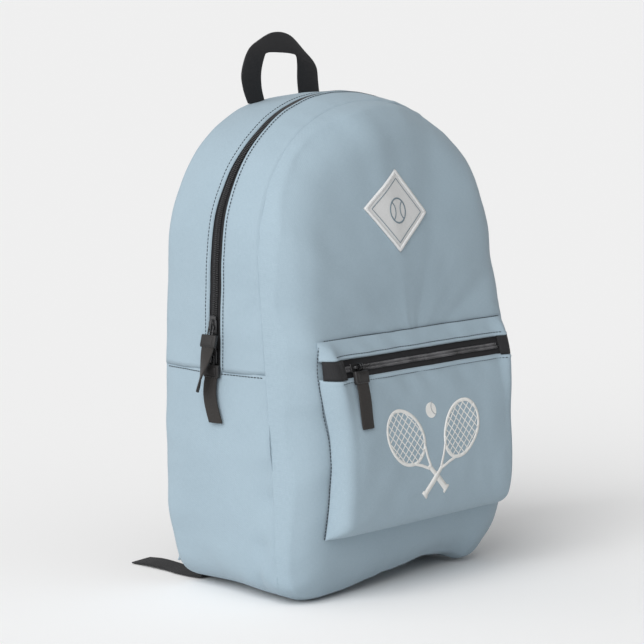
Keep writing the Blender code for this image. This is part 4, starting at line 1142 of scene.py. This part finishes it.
def make_patch():
    low, high = PATCH_BOX
    mid_x, mid_z = (low.x + high.x) / 2 - 0.0115, (low.z + high.z) / 2
    turn = math.radians(-6)
    across, along = 0.0408, 0.0355

    def at(right, up, scale=1.0):
        right, up = right * across * scale, up * along * scale
        return mid_x + right * math.cos(turn) - up * math.sin(turn), mid_z + right * math.sin(turn) + up * math.cos(turn)

    def diamond(name, inner, outer, lift, look, wall):
        bm = bmesh.new()
        if inner:
            corners = [at(*corner, (inner + outer) / 2) for corner in ((0, 1), (1, 0), (0, -1), (-1, 0), (0, 1))]
            width = (outer - inner) * across * along / math.hypot(across, along)
            surface_line(bm, divided(corners)[:-1], width, panel_point, lift, closed=True)
        else:

            def point(u, v):
                x, z = at(u - v, u + v - 1, outer)
                return panel_point(x, z) + Vector((0, -lift, 0))

            gather(bm, turn_out(mapped_grid(36, 36, point)))
        stands_for = () if inner else ("front_patch",)
        return piece(name, flat_weave(bm), look, "patch", "front_flap", stands_for, wall=wall)

    diamond("patch_cloth", 0, 1.0, 0.0010, BADGE_CLOTH, 0.0009)
    diamond("patch_satin_edge", 0.885, 1.0, 0.0014, BADGE_EDGE, 0.0004)
    diamond("patch_border_line", 0.765, 0.790, 0.00125, BADGE_LINE, 0.0002)
    bm = bmesh.new()
    surface_line(bm, oval(mid_x, mid_z, 0.0105, 0.0105), 0.0013, panel_point, 0.00125, closed=True)
    for sign in (-1, 1):
        facing = 180 + sign * 90
        seam = oval(mid_x + sign * 0.0125, mid_z, 0.0092, 0.0092, start=math.radians(facing - 52),
                    end=math.radians(facing + 52), count=24)
        surface_line(bm, seam, 0.0010, panel_point, 0.00125)
    piece("patch_ball_emblem", flat_weave(bm), BADGE_LINE, "patch", "front_flap", wall=0.0002)
    edge = [at(*corner, 0.945) for corner in ((0, 1), (1, 0), (0, -1), (-1, 0), (0, 1))]
    path = divided(edge, 0.0010)

    def place_at(distance):
        x, z = path[min(max(round(distance / 0.0010), 0), len(path) - 1)]
        return panel_point(x, z) + Vector((0, -0.0014, 0)), Vector((0, -1, 0))

    stitch_row("patch_stitching", place_at, 0.0010 * (len(path) - 2), "front_flap", "patch", 0.0026, 0.00020,
               look=BADGE_EDGE)


# ------------------------------------------------------------------ straps and the inside
def copy_of_node(node, inset=0.0):
    """A merged copy of a CAD node's mesh with a flat weave map, settled with the cloth round it."""
    bm = bmesh.new()
    bm.from_mesh(frame["nodes"][node].data)
    bmesh.ops.remove_doubles(bm, verts=bm.verts, dist=1e-6)
    for vert in bm.verts:
        low = smooth_step(1 - vert.co.z / 0.10)
        middle = Vector((0, vert.co.y, 0.15))
        vert.co = slump(vert.co - (vert.co - middle).normalized() * inset * (0.35 + 0.65 * low))
    return flat_weave(bm)


def puff(obj, voxel, pressure, cap, hold):
    """Fills a closed pad with air for a few frames. Points that hold() names stay in place."""
    even = obj.modifiers.new("even", "REMESH")
    even.mode = "VOXEL"
    even.voxel_size = voxel
    apply_looks(obj)
    rest = [v.co.copy() for v in obj.data.vertices]
    group = obj.vertex_groups.new(name="held")
    group.add([v.index for v in obj.data.vertices if hold(v.co)], 1.0, "REPLACE")
    air = obj.modifiers.new("air", "CLOTH")
    air.settings.vertex_group_mass = "held"
    air.settings.use_pressure = True
    air.settings.uniform_pressure_force = pressure
    air.settings.effector_weights.gravity = 0
    air.settings.mass = 0.2
    air.point_cache.frame_start, air.point_cache.frame_end = 1, 20
    for number in range(1, 21):
        bpy.context.scene.frame_set(number)
    apply_looks(obj)
    bpy.context.scene.frame_set(1)
    for vert, start in zip(obj.data.vertices, rest):
        move = vert.co - start
        if move.length > cap:
            vert.co = start + move * (cap / move.length)
    rounder = obj.modifiers.new("rounder", "SUBSURF")
    rounder.levels = rounder.render_levels = 1
    apply_looks(obj)
    obj.data.shade_smooth()
    return obj


def apply_looks(obj):
    """Makes the object's modifiers part of its mesh."""
    bpy.context.view_layer.update()
    shown = obj.evaluated_get(bpy.context.evaluated_depsgraph_get())
    made = bpy.data.meshes.new_from_object(shown)
    obj.modifiers.clear()
    obj.data = made


def strap_spine(side):
    """The shoulder strap's middle line and half widths, from the frame."""
    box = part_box("right_shoulder_strap")
    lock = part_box("right_ladder_lock")
    top_x = joint_place("right_strap_swing").x
    end_x = (lock[0].x + lock[1].x) / 2
    top_z, end_z = box[1].z, box[0].z
    y, bow = joint_place("right_strap_swing").y, 0.021
    shape = ((0.0, 0.0, 0.0), (0.17, 0.28, 0.45), (0.42, 0.65, 1.0), (0.72, 0.90, 0.85), (1.0, 1.0, 0.1))
    points = [(side * (top_x + (end_x - top_x) * out), y + bow * lift, top_z - (top_z - end_z) * fall)
              for fall, out, lift in shape]
    centres = smooth_path(points, 60)
    widths = np.interp(np.linspace(0, 1, 61), np.linspace(0, 1, 5), (0.0235, 0.029, 0.030, 0.028, 0.020))
    return centres, [float(w) for w in widths]


def make_strap(label, side):
    centres, widths = strap_spine(side)
    body, last = f"{label}_strap", len(centres) - 1
    thick = 0.0046

    def normal(k):
        ahead = centres[min(k + 1, last)] - centres[max(k - 1, 0)]
        return Vector((1, 0, 0)).cross(ahead).normalized() * (1 if ahead.z > 0 else -1) * -1

    def ring(u, v):
        k = round(u * last)
        a = 2 * math.pi * v
        square = lambda c, p: math.copysign(abs(c) ** p, c)
        across = square(math.cos(a), 0.55) * (widths[k] - 0.0010)
        end = min(k, last - k) / 3
        up = square(math.sin(a), 0.8) * thick * min(0.35 + 0.65 * end, 1.0)
        return centres[k] + Vector((across, 0, 0)) + normal(k) * up

    bm = mapped_grid(last, 40, ring)
    bmesh.ops.remove_doubles(bm, verts=bm.verts, dist=1e-6)
    bmesh.ops.holes_fill(bm, edges=[e for e in bm.edges if e.is_boundary])
    bmesh.ops.recalc_face_normals(bm, faces=bm.faces)
    pad = piece(f"{label}_padded_strap", bm, PAD_MESH, "back_padding", None)

    def hold(co):
        k = min(range(last + 1), key=lambda i: abs(centres[i].z - co.z))
        return abs(co.x - centres[k].x) > widths[k] - 0.0055 or k < 2 or k > last - 2

    puff(pad, 0.0045, 3.0, 0.006, hold)
    pad.data.materials.clear()
    pad.data.materials.append(PAD_MESH)
    layout = pad.data.uv_layers.get("UVMap") or pad.data.uv_layers.new(name="UVMap")
    for loop, spot in zip(pad.data.loops, layout.data):
        spot.uv = pad.data.vertices[loop.vertex_index].co.xz
    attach(pad, body)
    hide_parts(f"{label}_shoulder_strap")
    bpy.context.view_layer.update()

    def edge_tape(sign):
        path = [centres[k] + Vector((sign * widths[k], 0, 0)) for k in range(1, last)]
        bm = bmesh.new()
        count = len(path) - 1

        def tube(u, v):
            k = round(u * count)
            ahead = (path[min(k + 1, count)] - path[max(k - 1, 0)]).normalized()
            up = normal(k + 1)
            out = ahead.cross(up).normalized()
            a = 2 * math.pi * v
            return path[k] + out * 0.0030 * math.cos(a) + up * 0.0026 * math.sin(a)

        gather(bm, mapped_grid(count, 12, tube, (0.26, 0.016), merge=True))
        bmesh.ops.recalc_face_normals(bm, faces=bm.faces)
        return bm

    bm = edge_tape(-1)
    gather(bm, edge_tape(1))
    piece(f"{label}_strap_edge_tape", bm, ZIP_TAPE, "webbing", body)
    first = 34

    def on_pad(u, v):
        k = first + round(u * (last - first))
        out = -normal(k) if normal(k).y < 0 else normal(k)
        start = centres[k] + Vector((0.0125 * (2 * v - 1), 0, 0)) + out * 0.05
        found, spot, _, _ = pad.ray_cast(start, -out)
        base = spot if found else start - out * (0.05 - thick)
        return base + out * 0.0008

    bm = mapped_grid(last - first, 8, on_pad, (0.12, 0.025))
    bmesh.ops.recalc_face_normals(bm, faces=bm.faces)
    piece(f"{label}_strap_face_webbing", bm, BLACK_WEBBING, "webbing", body, wall=0.0013, offset=0.0, levels=1)
    make_lock(label)
    make_webbings(label, side)


def make_lock(label):
    """A ladder lock: two rails, three rounded bars and a thumb tab."""
    low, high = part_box(f"{label}_ladder_lock")
    middle = (low + high) / 2
    half = (high - low) / 2
    place = Matrix.Translation(middle)
    bm = bmesh.new()
    for side in (-1, 1):
        inner, outer = sorted((side * (half.x - 0.0038), side * half.x))
        rounded_box(bm, place, (inner, -half.y, -half.z), (outer, half.y, half.z), 0.0014, 4)
    for z, thick in ((half.z - 0.0020, 0.0042), (0.0, 0.0036), (-half.z + 0.0022, 0.0044)):
        rounded_box(bm, place, (-half.x + 0.002, -half.y * 0.92, z - thick / 2),
                    (half.x - 0.002, half.y * 0.92, z + thick / 2), 0.0013, 4)
    tab = place @ Matrix.Translation((0, half.y * 0.4, -half.z)) @ Matrix.Rotation(math.radians(-18), 4, "X")
    rounded_box(bm, tab, (-half.x * 0.72, -0.0012, -0.0030), (half.x * 0.72, 0.0012, 0.0030), 0.0010, 3)
    piece(f"{label}_moulded_lock", bm, BUCKLE_PLASTIC, "buckle", f"{label}_strap", (f"{label}_ladder_lock",),
          sharp=60)


def web_band(name, points, count, body=None, stands_for=(), sway=None, width=0.025):
    """Webbing along a curve through points, its width across the bag."""
    path = smooth_path(points, count)
    length = sum((b - a).length for a, b in zip(path, path[1:]))

    def point(u, v):
        k = round(u * count)
        twist, shift = sway(u) if sway else (0.0, 0.0)
        half = width * (v - 0.5)
        return path[k] + Vector((half * math.cos(twist) + shift, 0, half * math.sin(twist)))

    bm = mapped_grid(count, 8, point, (length, width))
    bmesh.ops.recalc_face_normals(bm, faces=bm.faces)
    return piece(name, bm, BLACK_WEBBING, "webbing", body, stands_for, wall=0.0014, offset=0.0, levels=1)


def make_webbings(label, side):
    lock_low, lock_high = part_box(f"{label}_ladder_lock")
    anchor_low, anchor_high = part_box(f"{label}_strap_anchor")
    x, y = (lock_low.x + lock_high.x) / 2, (lock_low.y + lock_high.y) / 2
    z = (lock_low.z + lock_high.z) / 2
    foot = Vector(((anchor_low.x + anchor_high.x) / 2, anchor_high.y + 0.0012, anchor_high.z - 0.010))
    strap = f"{label}_strap"
    lower = web_band(f"{label}_threaded_webbing", [
        foot, foot + Vector((0, 0.001, 0.018)), (x * 0.6 + foot.x * 0.4, foot.y + 0.006, z * 0.62),
        (x, y - 0.0028, lock_low.z - 0.004), (x, y - 0.0030, z - 0.0062), (x, y + 0.0028, z - 0.0022),
        (x, y + 0.0030, z + 0.0022), (x, y - 0.0024, z + 0.0070), (x, y - 0.0040, z + 0.0120),
    ], 72, stands_for=(f"{label}_lower_webbing",))
    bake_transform(lower)
    start = (x, y + 0.0052, z + 0.0040)
    bend = (x, y + 0.0034, z - 0.0105)
    if label == "right":
        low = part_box("right_webbing_tail")[0]
        web_band("right_webbing_end", [start, bend, (x, y + 0.0070, (z + low.z) / 2), (x, low.y + 0.004, low.z)],
                 40, strap, ("right_webbing_tail",), lambda u: (0.10 * math.sin(3 * u), 0.002 * math.sin(4 * u)))
    else:
        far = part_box("left_webbing_tail")[1].y
        floor = 0.0016
        tail = web_band("left_webbing_end", [
            start, bend, (x, y + 0.006, z * 0.60), (x - 0.003, y + 0.004, z * 0.30),
            (x - 0.007, y - 0.008, floor + 0.010), (x - 0.010, y - 0.0165, floor + 0.0012),
            (x - 0.012, y - 0.006, floor), (x - 0.012, y + 0.014, floor + 0.0004),
            (x - 0.009, far - 0.050, floor + 0.0006), (x - 0.007, far - 0.022, floor + 0.0016),
            (x - 0.006, far - 0.001, floor + 0.0002)], 120,
            stands_for=("left_webbing_tail",), sway=lambda u: (0.05 * smooth_step((u - 0.7) * 4), 0.0))
        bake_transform(tail)
    middle, half = (anchor_low.x + anchor_high.x) / 2, (anchor_high.x - anchor_low.x) / 2

    def tab(u, v):
        reach = half * (1.12 - 0.42 * v)
        lean = side * 0.004 * (1 - v)
        return slump((middle + lean + reach * (2 * u - 1), anchor_high.y - 0.0022 * (1 - v),
                      anchor_low.z + (anchor_high.z - anchor_low.z) * v))

    bm = flat_weave(turn_out(mapped_grid(16, 16, tab)))
    piece(f"{label}_cloth_anchor", bm, BLUE_CLOTH, "shell_cloth", "shell", (f"{label}_strap_anchor",),
          wall=0.0022, levels=1)
    for row, up in enumerate((0.30, 0.88)):

        def place_at(distance, up=up):
            spot = tab(0.12 + distance / (2 * half), up)
            return spot + Vector((0, 0.0002, 0)), Vector((0, 1, 0))

        stitch_row(f"{label}_anchor_stitching_{row}", place_at, 2 * half * (0.80 if up > 0.5 else 0.80), "shell")


def make_inside():
    low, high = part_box("strap_yoke")
    bm = bmesh.new()
    rounded_box(bm, Matrix.Identity(4), low, high, 0.0014, 4)
    piece("strap_yoke_cover", flat_weave(bm), BLUE_CLOTH, "shell_cloth", "shell", ("strap_yoke",), sharp=60)
    for row, z in enumerate((low.z + 0.0030, high.z - 0.0030)):

        def place_at(distance, z=z):
            return Vector((low.x + 0.002 + distance, high.y, z)), Vector((0, 1, 0))

        stitch_row(f"yoke_stitching_{row}", place_at, high.x - low.x - 0.004, "shell")
    piece("sleeve_cloth", copy_of_node("laptop_sleeve"), LINING_CLOTH, "lining", "shell", ("laptop_sleeve",),
          sharp=40)
    piece("sleeve_edge_tape", copy_of_node("sleeve_binding"), ZIP_TAPE, "webbing", "shell",
          ("sleeve_binding",), sharp=40)
    piece("rear_seam_tape", copy_of_node("rear_seam_binding", 0.004), BLUE_CLOTH, "shell_cloth", "shell",
          ("rear_seam_binding",), sharp=40)
    bm = copy_of_node("front_seam_binding_lower", 0.004)
    gather(bm, copy_of_node("front_seam_binding_upper", 0.004))
    across_fold(piece("front_seam_tape", bm, BLUE_CLOTH, "shell_cloth", None,
                      ("front_seam_binding_lower", "front_seam_binding_upper"), sharp=40))


def studio():
    """A pale floor, a bright side on the bag's left and a soft sun from there."""
    view = bpy.context.scene.view_settings
    view.view_transform = "Standard"
    world = bpy.data.worlds.new("studio_air")
    bpy.context.scene.world = world
    world.use_nodes = True
    tree = world.node_tree
    sky = tree.nodes["Background"]
    towards = tree.nodes.new("ShaderNodeTexCoord")
    side = tree.nodes.new("ShaderNodeVectorMath")
    side.operation = "DOT_PRODUCT"
    side.inputs[1].default_value = Vector(SKY_FROM).normalized()
    tree.links.new(towards.outputs["Generated"], side.inputs[0])
    strength = remap(tree, side.outputs["Value"], -1.0, 1.0, 0.0, SKY_LIGHT)
    tree.links.new(strength, sky.inputs["Strength"])
    sky.inputs["Color"].default_value = (1.0, 1.0, 1.0, 1)
    lamp = bpy.data.lights.new("side_sun", "SUN")
    lamp.energy = SUN_LIGHT
    lamp.angle = math.radians(50)
    sun = bpy.data.objects.new("side_sun", lamp)
    sun.rotation_euler = (-Vector(SUN_FROM)).to_track_quat("-Z", "Y").to_euler()
    bpy.context.scene.collection.objects.link(sun)
    bm = bmesh.new()
    bmesh.ops.create_grid(bm, x_segments=1, y_segments=1, size=60)
    mesh = bpy.data.meshes.new("studio_floor")
    bm.to_mesh(mesh)
    bm.free()
    floor, tree, shader = new_look("studio_floor_paint", (0.90, 0.90, 0.90), 0.95, specular=0.0)
    solid = tree.nodes.new("ShaderNodeTexCoord").outputs["Object"]
    set_bump(tree, shader, noise_node(tree, solid, 300, 2), 0.05, 0.0002)
    mesh.materials.append(floor)
    ground = bpy.data.objects.new("studio_floor", mesh)
    bpy.context.scene.collection.objects.link(ground)


def camera():
    """A long lens from the bag's front left, a little above it."""
    azimuth, elevation, distance = math.radians(-48.2), math.radians(7.4), 2.67
    target = Vector((-0.0085, 0.0040, 0.226))
    back = Vector((math.sin(azimuth) * math.cos(elevation), -math.cos(azimuth) * math.cos(elevation),
                   math.sin(elevation)))
    data = bpy.data.cameras.new("studio_camera")
    data.sensor_width = 36
    data.lens = 167.7
    obj = bpy.data.objects.new("studio_camera", data)
    obj.location = target + back * distance
    obj.rotation_euler = (-back).to_track_quat("-Z", "Y").to_euler()
    bpy.context.scene.collection.objects.link(obj)
    bpy.context.scene.camera = obj


camera()
studio()
make_side_strips()
make_front_panel()
make_pocket()
make_main_zip()
make_pocket_zip()
make_sliders()
make_haul_loop()
make_patch()
make_prints()
make_back()
for strap_label, strap_side in (("left", -1), ("right", 1)):
    make_strap(strap_label, strap_side)
make_inside()
